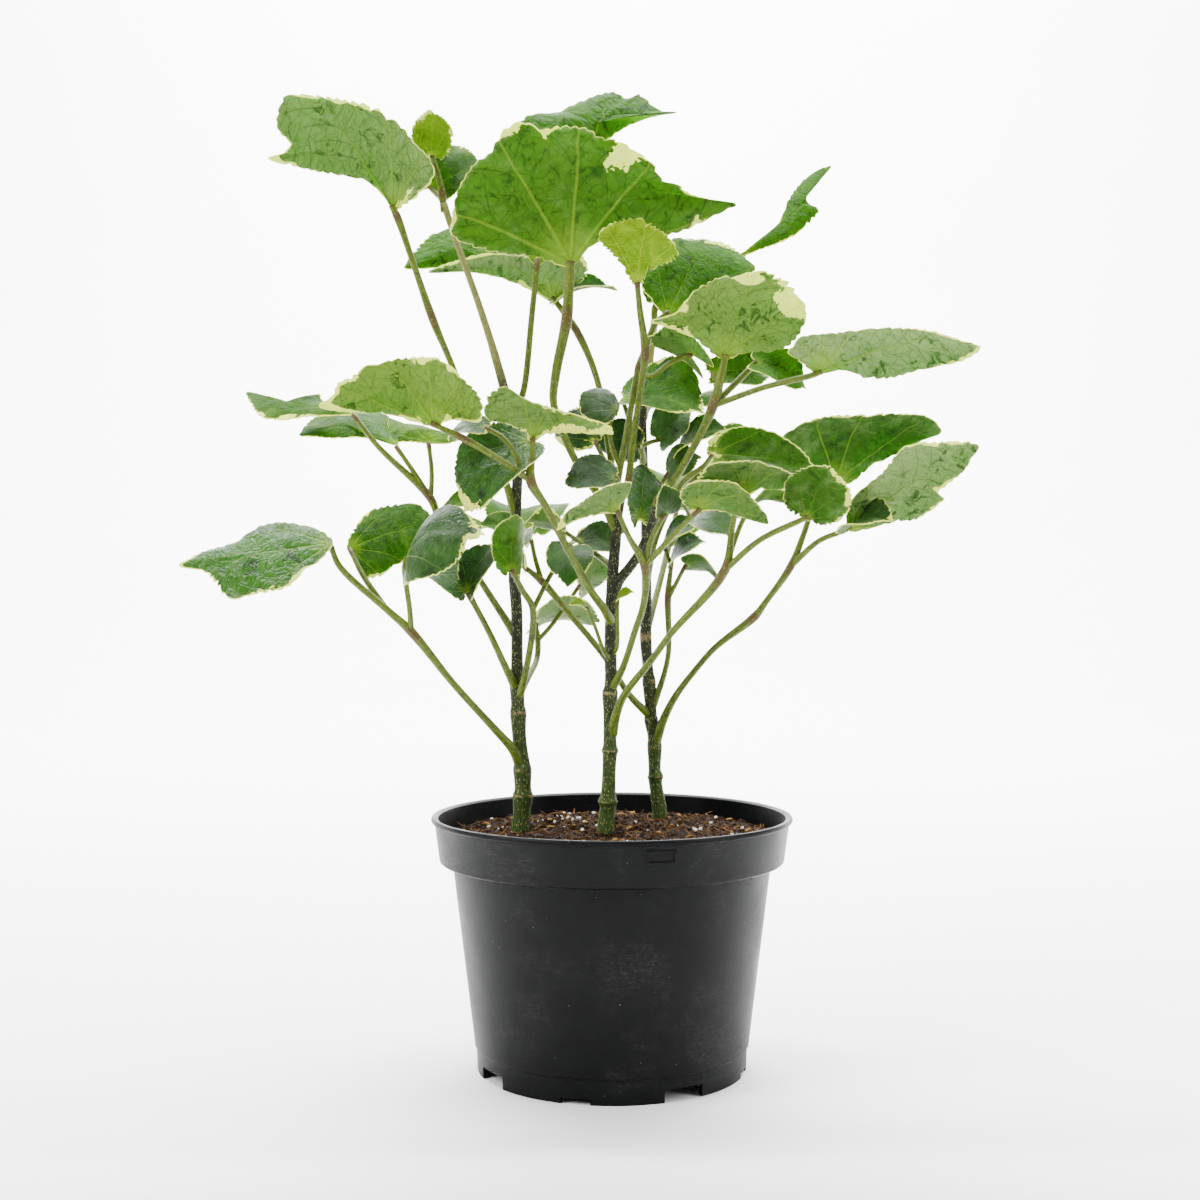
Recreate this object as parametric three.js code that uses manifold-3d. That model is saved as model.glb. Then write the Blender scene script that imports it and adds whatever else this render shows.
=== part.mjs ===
// Potted aralia: three ringed canes with round, toothed, cream-edged compound leaves, in a black nursery pot.
// Millimetres, +Z up. The origin is the centre of the pot's resting disc.

import * as THREE from 'three';
import { mergeVertices } from 'three/addons/utils/BufferGeometryUtils.js';
import Module from 'manifold-3d';

const wasm = await Module();
wasm.setup();

// ---------------------------------------------------------------- driving dimensions

const GAP = 0.3; // between a piece and the piece that carries it

const POT_HEIGHT = 115.3;
const LIP_RADIUS = 82.5;
const LIP_THICKNESS = 1.6;
const BAND_BOTTOM = 95;
const BAND_TOP_RADIUS = 81;
const BAND_BOTTOM_RADIUS = 78.8;
const BODY_TOP_RADIUS = 72.7;
const SEAM_HEIGHT = 11.6;
const SEAM_RADIUS = 62.7;
const FOOT_RADIUS = 61.5;
const POT_WALL = 1.8;
const DISC_RADIUS = 30; // the flat disc that the pot rests on
const CHANNEL_HEIGHT = 6; // of the drainage channel's underside
const POT_SEGMENTS = 36;
const LABEL_FRAME = { across: 13, up: 6, angle: -1.32, width: 1.1, relief: 0.5 };

const SOIL_TOP = 105;
const SOIL_HEAP = 4;
const SOIL_SEGMENTS = 24;
const CANE_BURIED_TO = 78; // height of the cane's lower end, inside the soil

const BLADE_THICKNESS = 0.9;
const CANE_SIDES = 9;
const PETIOLE_SIDES = 5;
const SMALL_BLADE = 11; // a blade with no more margin points than this has no inner ring
const MIDDLE = 0.45; // of a plain blade, as a share of its length
const ROOT = 1.5; // how far a blade reaches back over the end of its stalk

// ---------------------------------------------------------------- places

// A place is [across, up, depth], with an optional radius after it. Across and up are read on the upright plane
// through the pot's axis, as seen from EYE, and depth is how far behind that plane the place lies.
const EYE = new THREE.Vector3(-5.4, -764, 219.6);

function place([across, up, depth = 0]) {
  const slide = 1 + depth / -EYE.y;
  return new THREE.Vector3(EYE.x + (across - EYE.x) * slide, depth, EYE.z + (up - EYE.z) * slide);
}

// ---------------------------------------------------------------- solids

function solidOf(geometry) {
  const bare = geometry.clone();
  bare.deleteAttribute('normal');
  bare.deleteAttribute('uv');
  const merged = mergeVertices(bare, 1e-4);
  const mesh = new wasm.Mesh({
    numProp: 3,
    vertProperties: new Float32Array(merged.attributes.position.array),
    triVerts: new Uint32Array(merged.index.array),
  });
  return new wasm.Manifold(mesh);
}

// The solid of a closed geometry, turned inside out first where its faces look inwards.
function outwardSolid(geometry) {
  const solid = solidOf(geometry);
  if (solid.volume() > 0) return solid;
  const index = geometry.index.array;
  const reversed = [];
  for (let i = 0; i < index.length; i += 3) reversed.push(index[i], index[i + 2], index[i + 1]);
  const copy = geometry.clone();
  copy.setIndex(reversed);
  return solidOf(copy);
}

function geometryOf(solid) {
  const mesh = solid.getMesh();
  const geometry = new THREE.BufferGeometry();
  geometry.setAttribute('position', new THREE.BufferAttribute(new Float32Array(mesh.vertProperties), 3));
  geometry.setIndex(new THREE.BufferAttribute(new Uint32Array(mesh.triVerts), 1));
  geometry.computeVertexNormals();
  return geometry;
}

function join(solids) {
  return solids.reduce((whole, solid) => whole.add(solid));
}

// The largest body of a solid: what a cut leaves loose is dropped.
function mainBody(solid) {
  const bodies = solid.decompose();
  return bodies.reduce((best, body) => (body.volume() > best.volume() ? body : best));
}

// ---------------------------------------------------------------- tubes

// A curve that passes its points at even steps, so that a tube's rings lie on them.
class PointCurve extends THREE.CatmullRomCurve3 {
  getPointAt(t, target) {
    return this.getPoint(t, target);
  }

  getTangentAt(t, target) {
    return this.getTangent(t, target);
  }
}

function polygon(sides) {
  const points = Array.from({ length: sides }, (_, i) => {
    const angle = (2 * Math.PI * i) / sides;
    return new THREE.Vector2(Math.cos(angle), Math.sin(angle));
  });
  return new THREE.Shape(points);
}

// A tube through rows of [across, up, depth, radius], with `extra` added to each radius.
function tube(rows, { sides = PETIOLE_SIDES, extra = 0 } = {}) {
  const path = new PointCurve(rows.map(place), false, 'centripetal');
  const geometry = new THREE.ExtrudeGeometry(polygon(sides), {
    steps: rows.length - 1,
    extrudePath: path,
    bevelEnabled: false,
    curveSegments: 1,
  });
  const centres = path.getSpacedPoints(rows.length - 1);
  const position = geometry.attributes.position;
  const corner = new THREE.Vector3();
  for (let i = 0; i < position.count; i += 1) {
    corner.fromBufferAttribute(position, i);
    const { row } = centres.reduce((best, centre, index) => {
      const off = Math.abs(centre.distanceTo(corner) - 1);
      return off < best.off ? { off, row: index } : best;
    }, { off: Infinity, row: 0 });
    corner.sub(centres[row]).multiplyScalar(rows[row][3] + extra).add(centres[row]);
    position.setXYZ(i, corner.x, corner.y, corner.z);
  }
  return solidOf(geometry);
}

// ---------------------------------------------------------------- blades

// The margin of a blade whose stalk joins it at (0, 0) and whose tip is at (0, 1). x runs to the blade's right, seen
// from its upper side, and is 1 at the widest point. The base is heart-shaped and the edge has rounded teeth.
function marginPoint(turn, { lobes, point, tooth, teeth }) {
  const angle = turn * 2.86;
  const heart = lobes * Math.exp(-(((Math.abs(angle) - 2.45) / 0.5) ** 2));
  const tip = point * Math.exp(-((angle / 0.32) ** 2));
  const notch = 1 - tooth * (0.5 + 0.5 * Math.cos(Math.PI * teeth * (turn + 1)));
  return new THREE.Vector3(
    Math.sin(angle) * notch * (1 - 0.5 * tip),
    ((0.47 + 0.5 * Math.cos(angle)) * notch - heart + tip * 0.12) / (0.97 + point * 0.12),
    0,
  );
}

// The margin of a plain blade, and the place of any point (x, y) of it.
function plainShape({ foot, up, tip, wide, arch, cup, wave, lobes, point, tooth, points }) {
  const midrib = tip.clone().sub(foot);
  const length = midrib.length();
  midrib.normalize();
  up.addScaledVector(midrib, -up.dot(midrib)).normalize();
  const right = new THREE.Vector3().crossVectors(midrib, up);
  const margin = Array.from({ length: points }, (_, i) => (
    marginPoint((2 * i) / (points - 1) - 1, { lobes, point, tooth, teeth: (points - 1) / 2 })
  ));
  margin.push(new THREE.Vector3(0, -0.03, 0));
  const spot = ({ x, y }) => {
    const spread = Math.hypot(x, y);
    const ruffle = wave * length * spread * spread * Math.sin(4 * Math.atan2(x, y - 0.2));
    return foot.clone()
      .addScaledVector(right, x * (x < 0 ? wide[0] : wide[1]))
      .addScaledVector(midrib, y * length)
      .addScaledVector(up, length * (cup * x * x + arch * 4 * y * (1 - y)) + ruffle);
  };
  return { margin, spot, middle: new THREE.Vector3(0, MIDDLE, 0) };
}

// The margin of a blade that is given by its edge, as places on its plane.
function edgedShape(foot, up, edge, dome) {
  const onPlane = ([across, level]) => {
    const sight = place([across, level]).sub(EYE);
    const reach = foot.clone().sub(EYE).dot(up) / sight.dot(up);
    return EYE.clone().addScaledVector(sight, reach);
  };
  const margin = edge.map(onPlane);
  const middle = margin.reduce((sum, point) => sum.add(point), new THREE.Vector3()).divideScalar(margin.length);
  const length = 2 * Math.max(...margin.map((point) => point.distanceTo(middle)));
  const beyond = foot.clone().addScaledVector(middle.clone().sub(foot).normalize(), -ROOT);
  margin.push(beyond);
  const spot = (point, part) => point.clone().addScaledVector(up, dome * length * (1 - part * part));
  return { margin, spot, middle };
}

// One blade. `base` is the place where its stalk joins it and `facing` is the way that its upper side looks. A plain
// blade runs to the place `tip`, and `wide` gives its reach to the left and right of the midrib; `arch` raises its
// middle, `cup` lifts its sides and `wave` ruffles its edge. A blade with an `edge` has that outline instead, as
// [across, up] from the base round to the base, on the plane through the base, and `dome` raises its middle.
function blade({
  base, tip, edge, facing, wide, arch = 0.15, cup = 0.12, wave = 0.04, lobes = 0.16, point = 0.7, tooth = 0.07,
  points = 15, dome = 0.1,
}) {
  const foot = place(base);
  const up = new THREE.Vector3(...facing).normalize();
  const shape = edge ? edgedShape(foot, up, edge, dome) : plainShape({
    foot, up, tip: place(tip), wide, arch, cup, wave, lobes, point, tooth, points,
  });
  const { margin, spot, middle } = shape;
  const rings = margin.length > SMALL_BLADE ? [0.55, 1] : [1];
  const count = margin.length;
  const places = [];
  for (const side of [1, -1]) {
    const offset = up.clone().multiplyScalar((side * BLADE_THICKNESS) / 2);
    places.push(spot(middle, 0).add(offset));
    for (const part of rings) {
      margin.forEach((corner) => places.push(spot(middle.clone().lerp(corner, part), part).add(offset)));
    }
  }
  const faces = [];
  const perSide = 1 + rings.length * count;
  const addFace = (a, b, c) => {
    faces.push(a, b, c);
    faces.push(perSide + a, perSide + c, perSide + b);
  };
  for (let i = 0; i < count; i += 1) {
    const inner = 1 + i;
    const next = 1 + ((i + 1) % count);
    addFace(0, next, inner);
    for (let ring = 1; ring < rings.length; ring += 1) {
      const step = ring * count;
      addFace(inner + step - count, next + step - count, inner + step);
      addFace(next + step - count, next + step, inner + step);
    }
    const outer = (rings.length - 1) * count;
    faces.push(inner + outer, next + outer, perSide + next + outer);
    faces.push(inner + outer, perSide + next + outer, perSide + inner + outer);
  }

  const geometry = new THREE.BufferGeometry().setFromPoints(places);
  geometry.setIndex(faces);
  return outwardSolid(geometry);
}

// ---------------------------------------------------------------- pot and soil

function turned(profile, segments) {
  const geometry = new THREE.LatheGeometry(profile.map(([r, z]) => new THREE.Vector2(r, z)), segments);
  geometry.rotateX(Math.PI / 2);
  return outwardSolid(geometry);
}

function boxAt(sizes, centre, angle = 0) {
  const geometry = new THREE.BoxGeometry(...sizes);
  geometry.translate(...centre);
  geometry.rotateZ(angle);
  return solidOf(geometry);
}

const DISC_TOP = POT_WALL;
const CHANNEL_TOP = CHANNEL_HEIGHT + POT_WALL;

function potSolid() {
  const shell = turned([
    [0, 0],
    [DISC_RADIUS, 0],
    [DISC_RADIUS + 1.5, CHANNEL_HEIGHT],
    [FOOT_RADIUS - 3.2, CHANNEL_HEIGHT],
    [FOOT_RADIUS - 2, 0],
    [FOOT_RADIUS, 0],
    [SEAM_RADIUS - 0.7, SEAM_HEIGHT - 0.6],
    [SEAM_RADIUS, SEAM_HEIGHT],
    [BODY_TOP_RADIUS, BAND_BOTTOM - 1],
    [BODY_TOP_RADIUS + 3.6, BAND_BOTTOM - 0.8],
    [BAND_BOTTOM_RADIUS - 0.7, BAND_BOTTOM],
    [BAND_BOTTOM_RADIUS, BAND_BOTTOM + 1.2],
    [BAND_TOP_RADIUS, POT_HEIGHT - 2.6],
    [LIP_RADIUS - 0.2, POT_HEIGHT - 2.2],
    [LIP_RADIUS, POT_HEIGHT - 1.2],
    [LIP_RADIUS - 0.5, POT_HEIGHT - 0.2],
    [LIP_RADIUS - 1.4, POT_HEIGHT],
    [BAND_TOP_RADIUS - LIP_THICKNESS, POT_HEIGHT - 0.9],
    [BAND_BOTTOM_RADIUS - POT_WALL, BAND_BOTTOM + 1.6],
    [BAND_BOTTOM_RADIUS - POT_WALL - 0.6, BAND_BOTTOM + 1],
    [BODY_TOP_RADIUS - POT_WALL, BAND_BOTTOM + 0.8],
    [SEAM_RADIUS - POT_WALL, SEAM_HEIGHT],
    [FOOT_RADIUS - POT_WALL - 0.6, CHANNEL_TOP],
    [DISC_RADIUS + 0.2, CHANNEL_TOP],
    [DISC_RADIUS - 1.4, DISC_TOP],
    [0, DISC_TOP],
  ], POT_SEGMENTS);

  // Four tall and four shallow notches in the foot, with a drain hole behind each tall one.
  const quarter = Math.PI / 2;
  let pot = shell;
  for (let i = 0; i < 4; i += 1) {
    const tall = -Math.PI / 3 + i * quarter;
    const shallow = tall + quarter / 2;
    const notchMiddle = (CHANNEL_HEIGHT - 1) / 2 - 0.4;
    pot = pot.subtract(boxAt([14, 19, CHANNEL_HEIGHT + 1], [FOOT_RADIUS, 0, notchMiddle], tall));
    pot = pot.subtract(boxAt([14, 13, 4.6], [FOOT_RADIUS, 0, 0.3], shallow));
    const hole = new THREE.CylinderGeometry(5, 5, 12, 12).rotateX(Math.PI / 2);
    hole.translate(FOOT_RADIUS - 12, 0, CHANNEL_HEIGHT + 1);
    hole.rotateZ(tall);
    pot = pot.subtract(solidOf(hole));
  }
  return pot.add(labelFrame());
}

// The bare raised rectangle on the band.
function labelFrame() {
  const { across, up, angle, width, relief } = LABEL_FRAME;
  const outer = new THREE.Shape(rectangle(across, up));
  outer.holes.push(new THREE.Path(rectangle(across - 2 * width, up - 2 * width)));
  const frame = new THREE.ExtrudeGeometry(outer, { depth: relief + 1, bevelEnabled: false });
  frame.rotateX(Math.PI / 2);
  frame.rotateZ(Math.PI / 2);
  frame.translate(-1.5, 0, 0);
  frame.rotateY(-Math.atan2(BAND_TOP_RADIUS - BAND_BOTTOM_RADIUS, POT_HEIGHT - BAND_BOTTOM));
  frame.translate(BAND_TOP_RADIUS + relief, 0, 108);
  frame.rotateZ(angle);
  return solidOf(frame);
}

function rectangle(across, up) {
  const corners = [[-1, -1], [1, -1], [1, 1], [-1, 1]];
  return corners.map(([x, y]) => new THREE.Vector2((x * across) / 2, (y * up) / 2));
}

function soilHeight(x, y) {
  const radius = Math.hypot(x, y) / BAND_TOP_RADIUS;
  const heap = SOIL_HEAP * (1 - radius * radius) * (0.6 + 0.4 * (y / BAND_TOP_RADIUS));
  const clods = 0.9 * Math.sin(x * 0.21 + 1.3) * Math.cos(y * 0.18) + 0.6 * Math.sin(x * 0.43 - y * 0.37);
  return SOIL_TOP + heap + clods;
}

function soilSolid() {
  const surface = [0.2, 0.4, 0.6, 0.8, 0.94].map((part) => [part * BAND_TOP_RADIUS, SOIL_TOP]).reverse();
  const geometry = new THREE.LatheGeometry([
    [0, DISC_TOP + GAP],
    [DISC_RADIUS - 1.8, DISC_TOP + GAP],
    [DISC_RADIUS - 0.2, CHANNEL_TOP + GAP],
    [FOOT_RADIUS - POT_WALL - 1.1, CHANNEL_TOP + GAP],
    [SEAM_RADIUS - POT_WALL - 0.5, SEAM_HEIGHT],
    [BODY_TOP_RADIUS - POT_WALL - 0.6, BAND_BOTTOM + 1.2],
    [BAND_BOTTOM_RADIUS - POT_WALL - 1, BAND_BOTTOM + 1.8],
    [BAND_BOTTOM_RADIUS - POT_WALL - 0.2, SOIL_TOP - 1.4],
    ...surface,
    [0, SOIL_TOP],
  ].map(([r, z]) => new THREE.Vector2(r, z)), SOIL_SEGMENTS);
  geometry.rotateX(Math.PI / 2);
  const position = geometry.attributes.position;
  for (let i = 0; i < position.count; i += 1) {
    if (Math.abs(position.getZ(i) - SOIL_TOP) < 0.01) {
      position.setZ(i, soilHeight(position.getX(i), position.getY(i)));
    }
  }
  return outwardSolid(geometry);
}

// ---------------------------------------------------------------- canes: [across, up, depth, radius]

const CANES = {
  cane_left: [[
    [-41.7, CANE_BURIED_TO, 8, 4.4], [-41.7, 106, 8, 4.3], [-41.2, 117, 8, 4.1], [-40.8, 124, 8, 4.6],
    [-40.8, 127, 8, 3.9], [-41.1, 136, 8, 4.2], [-41.4, 140, 8, 3.6], [-42.6, 152, 8, 3.3],
    [-43, 162, 8, 3.7], [-43.2, 166, 8, 3.2], [-43.5, 175.5, 8, 3.5], [-43.5, 179, 8, 3.0],
    [-43.5, 207.6, 8, 2.7], [-44.7, 224.6, 8, 2.7], [-44, 248, 8, 2.5], [-44, 290, 8, 2.4],
    [-50, 313, 8, 2.1], [-55.4, 332, 9, 1.8], [-62.3, 353, 10, 1.6], [-71, 377, 10, 1.5], [-77, 395, 10, 1.7],
  ]],
  cane_middle: [[
    [-3.2, CANE_BURIED_TO, -6, 4.2], [-3.2, 105, -6, 4.1], [-1.8, 118, -6, 3.7], [-1.7, 121, -6, 4.3],
    [-1.6, 124, -6, 3.5], [-1, 142, -6, 3.3], [-0.9, 144.4, -6, 3.8], [-0.9, 147, -6, 3.2],
    [-0.9, 162, -6, 3.1], [-0.9, 171, -6, 3.5], [-0.5, 174, -6, 3.0], [-0.5, 197, -6, 2.8],
    [0, 213.6, -6, 2.8], [0.5, 226, -6, 2.6], [1.8, 241, -6, 2.5], [2.3, 250, -6, 2.4], [5, 266, -6, 2.3],
  ], [
    [0, 214, -6, 2.2], [4, 223, -7, 2.3], [8.7, 229, -9, 2.3], [13.3, 236, -12, 2.2], [18.8, 250, -14, 1.9],
    [20.2, 256, -15, 2.1],
  ]],
  cane_right: [[
    [22, CANE_BURIED_TO, 42, 3.9], [22, 108, 42, 3.8], [22, 116, 42, 3.6], [20, 130, 42, 3.3],
    [20, 132.5, 42, 3.8], [19.7, 135, 42, 3.1], [19.5, 147, 42, 3.5], [19, 151, 42, 2.9],
    [17.9, 159, 42, 3.3], [17.9, 162, 42, 2.8], [17, 177, 42, 3.2], [16.8, 180, 42, 2.7],
    [15.6, 197, 42, 2.8], [16, 208.5, 42, 2.5], [15.6, 245, 42, 2.3], [14.2, 287, 42, 2.1],
    [14.2, 300.6, 42, 2.0], [17.4, 323.6, 42, 1.9], [19.7, 342, 42, 1.8],
  ]],
};

function caneSolid(rows, extra = 0) {
  return join(rows.map((row) => tube(row, { sides: CANE_SIDES, extra })));
}

// ---------------------------------------------------------------- compound leaves

// Each leaf has its stalks, as tubes that start inside the cane or stalk that carries them, and its blades.
const LEAVES = {
  leaf_left_high: {
    tone: 'under',
    stalks: [[
      [-44.3, 252, 8, 2.2], [-49, 268, 5, 1.8], [-61, 291, 0, 1.5], [-74, 323, -4, 1.5], [-82, 342, -6, 1.8],
      [-92, 371, -8, 1.5], [-98.5, 389.5, -8, 1.7], [-101, 394, -8, 1.2],
    ]],
    blades: [{
      base: [-101, 393, -8], facing: [0.1, 0.93, 0.35], dome: 0.08,
      edge: [
        [-94, 394], [-85, 401.5], [-80.7, 407.5], [-83, 415.5], [-89.5, 422], [-95, 429.5], [-104.5, 437],
        [-112, 440.5], [-124.5, 443], [-139, 445], [-149, 444.5], [-154, 434], [-153, 427.5], [-148, 422.5],
        [-150, 418.5], [-158, 415.5], [-139, 410], [-123, 407], [-112, 404.5], [-104, 397],
      ],
    }],
  },
  shoot_left_top: {
    tone: 'young',
    stalks: [
      [[-77, 391, 10, 1.5], [-77.6, 399, 10, 1.7], [-80.6, 412, 8, 1.2], [-82.5, 417, 6, 1]],
      [[-77.5, 397, 10, 1.2], [-83, 402, 18, 1]],
    ],
    blades: [
      { base: [-82.5, 416.5, 6], tip: [-84, 438, 0], facing: [0.2, -0.9, 0.3], wide: [10, 10], points: 11 },
      { base: [-83, 401.5, 18], tip: [-68, 421, 32], facing: [0.2, -0.8, 0.6], wide: [17, 16], points: 11 },
    ],
  },
  leaf_left_low: {
    tone: 'upper',
    stalks: [
      [
        [-41.5, 137, 8, 3], [-45.5, 145, 4, 2.3], [-53, 153.5, 0, 1.9], [-73, 175.5, -8, 1.7], [-92, 199, -14, 2],
        [-103, 209, -17, 1.7], [-124.6, 228.7, -20, 1.5], [-129, 238.8, -22, 1.2],
      ],
      [[-103, 209, -17, 1.4], [-113.6, 224, -12, 1.4], [-120, 237, -4, 1.2]],
      [[-92, 199, -14, 1.5], [-92.6, 208.5, -18, 1.3], [-95, 229, -22, 1.3], [-94, 233, -22, 1.1]],
    ],
    blades: [
      {
        base: [-129, 239, -22], facing: [-0.05, -0.75, 0.65], dome: 0.05,
        edge: [
          [-131, 244], [-143, 249], [-151.5, 249], [-161, 247], [-174, 239.5], [-187, 236], [-194, 232], [-199, 229],
          [-187, 226], [-181, 219.5], [-175.5, 213.5], [-163.5, 216], [-148, 219.5], [-139.5, 227], [-134, 231],
        ],
      },
      {
        base: [-120, 236.5, -4], facing: [0.1, -0.8, 0.6], dome: 0.08,
        edge: [
          [-121, 241], [-116, 249.5], [-110.5, 254.8], [-99.7, 257.3], [-86, 255.5], [-80, 247], [-86, 237],
          [-97, 230], [-108, 223.5], [-113.7, 224], [-118, 232],
        ],
      },
      {
        base: [-94, 232.5, -22], tip: [-58, 243, -40], facing: [-0.1, -0.75, 0.6], wide: [19, 18], arch: 0.25,
        cup: -0.15, points: 15,
      },
    ],
  },
  leaf_left_back: {
    tone: 'under',
    stalks: [
      [
        [-44.4, 198, 8, 2.4], [-51, 208, 16, 1.8], [-65, 229.6, 28, 1.6], [-79, 250, 36, 1.6], [-83, 260, 37, 1.9],
        [-107, 283.7, 40, 1.4], [-119, 299, 40, 1.2],
      ],
      [[-83, 260, 37, 1.4], [-90, 271, 38, 1.3], [-99, 284, 38, 1.1]],
      [[-83, 260, 37, 1.4], [-82.5, 272, 40, 1.2], [-84, 286, 42, 1.1]],
      [[-79, 250, 36, 1.4], [-78, 254, 31, 1]],
    ],
    blades: [
      { base: [-78, 253.5, 31], tip: [-57, 257, 24], facing: [0, -0.5, 0.85], wide: [8, 8], points: 11 },
      {
        base: [-119, 298.5, 40], facing: [0, -0.5, 0.85], dome: 0.04,
        edge: [
          [-131, 303.5], [-133.2, 307.4], [-137.5, 306.6], [-144.6, 304.5], [-151.7, 303.8], [-160.2, 306.6],
          [-167.5, 309], [-165, 302], [-163, 298.8], [-158.8, 296.6], [-151.7, 296], [-140.3, 297], [-131, 297.5],
        ],
      },
      {
        base: [-99, 283.5, 38], facing: [0, -0.5, 0.85], dome: 0.06,
        edge: [
          [-108, 286.5], [-116.2, 287.8], [-126.1, 287.5], [-137.5, 287.9], [-143.2, 288.8], [-140.3, 293.8],
          [-135.4, 297.4], [-123.3, 300], [-104, 299], [-100, 291],
        ],
      },
      {
        base: [-84, 285.5, 42], facing: [0, -0.55, 0.83], dome: 0.06,
        edge: [
          [-90, 285.5], [-94.9, 285.8], [-102, 285.3], [-102.5, 291], [-102, 297], [-96.3, 294.5], [-86.3, 293.1],
          [-79.3, 291], [-68, 287], [-76, 284.5],
        ],
      },
    ],
  },
  leaf_left_inner: {
    tone: 'upper',
    stalks: [
      [[-43.5, 172, 8, 2.4], [-48, 181, 2, 1.8], [-56.4, 199, -2, 1.5], [-66, 217, -4, 1.4]],
    ],
    blades: [
      { base: [-67, 217.5, -4], tip: [-89, 228, 8], facing: [0, -0.6, 0.8], wide: [11, 12], points: 11 },
      { base: [-66, 217.5, -4], tip: [-51, 240, -4], facing: [-0.3, -0.7, 0.6], wide: [8, 9], points: 11 },
    ],
  },
  leaf_left_front: {
    tone: 'under',
    stalks: [
      [[-43, 168, 8, 2.2], [-40, 178, 2, 1.7], [-36.2, 209, -6, 1.6], [-41, 218, -12, 1.4], [-46, 227.5, -16, 1.1]],
      [[-36.2, 209, -6, 1.3], [-29.3, 222.7, -4, 1.2], [-22.5, 234, 2, 1.2], [-19, 239, 3, 1.1]],
    ],
    blades: [
      { base: [-46, 227, -16], tip: [-43, 253, -24], facing: [-0.3, 0.75, 0.5], wide: [8, 8], cup: 0.25, points: 11 },
      { base: [-19, 238.5, 3], tip: [-21, 219.5, -12], facing: [0.1, -0.7, 0.7], wide: [11, 11], points: 11 },
    ],
  },
  leaf_left_under: {
    tone: 'under',
    stalks: [
      [[-43.5, 168, 8, 2.2], [-39, 177, 18, 1.7], [-34.4, 186.5, 32, 1.5], [-34, 196, 40, 1.5], [-35, 203, 44, 1.1]],
      [[-34, 195, 39, 1.2], [-29.3, 200, 43, 1.2], [-23, 208, 48, 1.1], [-14.7, 220.5, 52, 1]],
    ],
    blades: [
      { base: [-35, 202.5, 44], tip: [-5, 203, 56], facing: [0, 0.55, 0.85], wide: [15, 14], points: 15 },
      { base: [-14.7, 220, 52], tip: [1, 228, 60], facing: [0, 0.8, 0.6], wide: [12, 12], points: 11 },
    ],
  },
  leaf_left_rear: {
    tone: 'upper',
    stalks: [
      [[-44, 210, 8, 2.2], [-44, 222, 26, 1.7], [-42, 236, 48, 1.6], [-40, 246, 62, 1.1]],
      [[-42, 236, 48, 1.4], [-45, 243, 56, 1.1]],
    ],
    blades: [
      { base: [-40, 245.5, 62], tip: [-38, 254, 100], facing: [0, -0.2, 1], wide: [22, 22], points: 15 },
      { base: [-45, 242.5, 56], tip: [-68, 242, 76], facing: [0, -0.1, 1], wide: [13, 13], points: 11 },
    ],
  },
  leaf_centre_big: {
    tone: 'under',
    stalks: [[
      [2, 245, -6, 2.4], [-4, 258, -7, 2], [-17, 278, -8, 1.8], [-26.6, 303, -10, 1.8], [-25.7, 316.7, -12, 2.2],
      [-20.6, 342.8, -14, 2.4], [-19.5, 362, -14, 2.3], [-18.8, 368.5, -14, 1.8],
    ]],
    blades: [
      {
        base: [-18.8, 367.5, -14], facing: [0.05, 0.95, 0.3], dome: 0.07,
        edge: [
          [-35, 370], [-49.5, 371.5], [-64, 375], [-74, 380.5], [-73.5, 389], [-72, 398], [-68.5, 405.5],
          [-63, 413.5], [-56.5, 418], [-53.5, 423], [-49.5, 429], [-45, 432], [-38, 432], [-32.5, 429],
          [-25.5, 430.5], [-18, 430.5], [-10, 429], [-5.5, 425.5], [3, 424], [11, 419], [19, 413.5], [24, 405.5],
          [31, 403.5], [36, 399.5], [47, 396.5], [57.5, 394.5], [47, 389], [34, 382.5], [16, 378.5], [-6.5, 376.5],
          [-12, 372.5],
        ],
      },
    ],
  },
  leaf_centre_back: {
    tone: 'upper',
    stalks: [[
      [-44, 290, 8, 2], [-43, 302, 12, 1.7], [-40.3, 309.8, 13, 1.6], [-36.5, 345, 13, 1.5], [-34, 369.5, 13, 1.3],
    ]],
    blades: [{
      base: [-34, 369, 13], facing: [0, -0.9, 0.42], dome: 0.05,
      edge: [
        [-46, 390], [-46.5, 415], [-41, 433], [-36, 435.5], [-25.5, 436.5], [-14, 441.5], [-0.5, 445.5], [7.5, 442.5],
        [13, 444.5], [17, 441.5], [22.5, 437], [30, 436], [20.5, 434.5], [8, 430], [-4, 420], [-12.5, 397],
        [-24, 378.5],
      ],
    }],
  },
  leaf_centre_left: {
    tone: 'under',
    stalks: [[
      [4, 245, -6, 2], [3, 254, 4, 1.7], [-2, 287, 15, 1.6], [-6.9, 314.9, 24, 1.6], [-16, 336.4, 30, 1.8],
      [-25.7, 350, 32, 1.4], [-27.5, 352, 32, 1.1],
    ]],
    blades: [
      {
        base: [-27, 351.5, 32], facing: [0, 0.8, 0.6], dome: 0.04,
        edge: [
          [-35.5, 354], [-45, 358.5], [-58, 362], [-68, 363.2], [-84.5, 363], [-72, 368.5], [-59.3, 372], [-40, 371],
          [-24, 369], [-13, 371], [-11, 362], [-18, 356],
        ],
      },
      { base: [-25.5, 350, 32], tip: [3, 355, 38], facing: [0, -0.4, 0.9], wide: [6, 7], points: 11 },
      {
        base: [-27.5, 351.5, 32.5], facing: [0, -0.8, 0.6], dome: 0.04,
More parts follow.
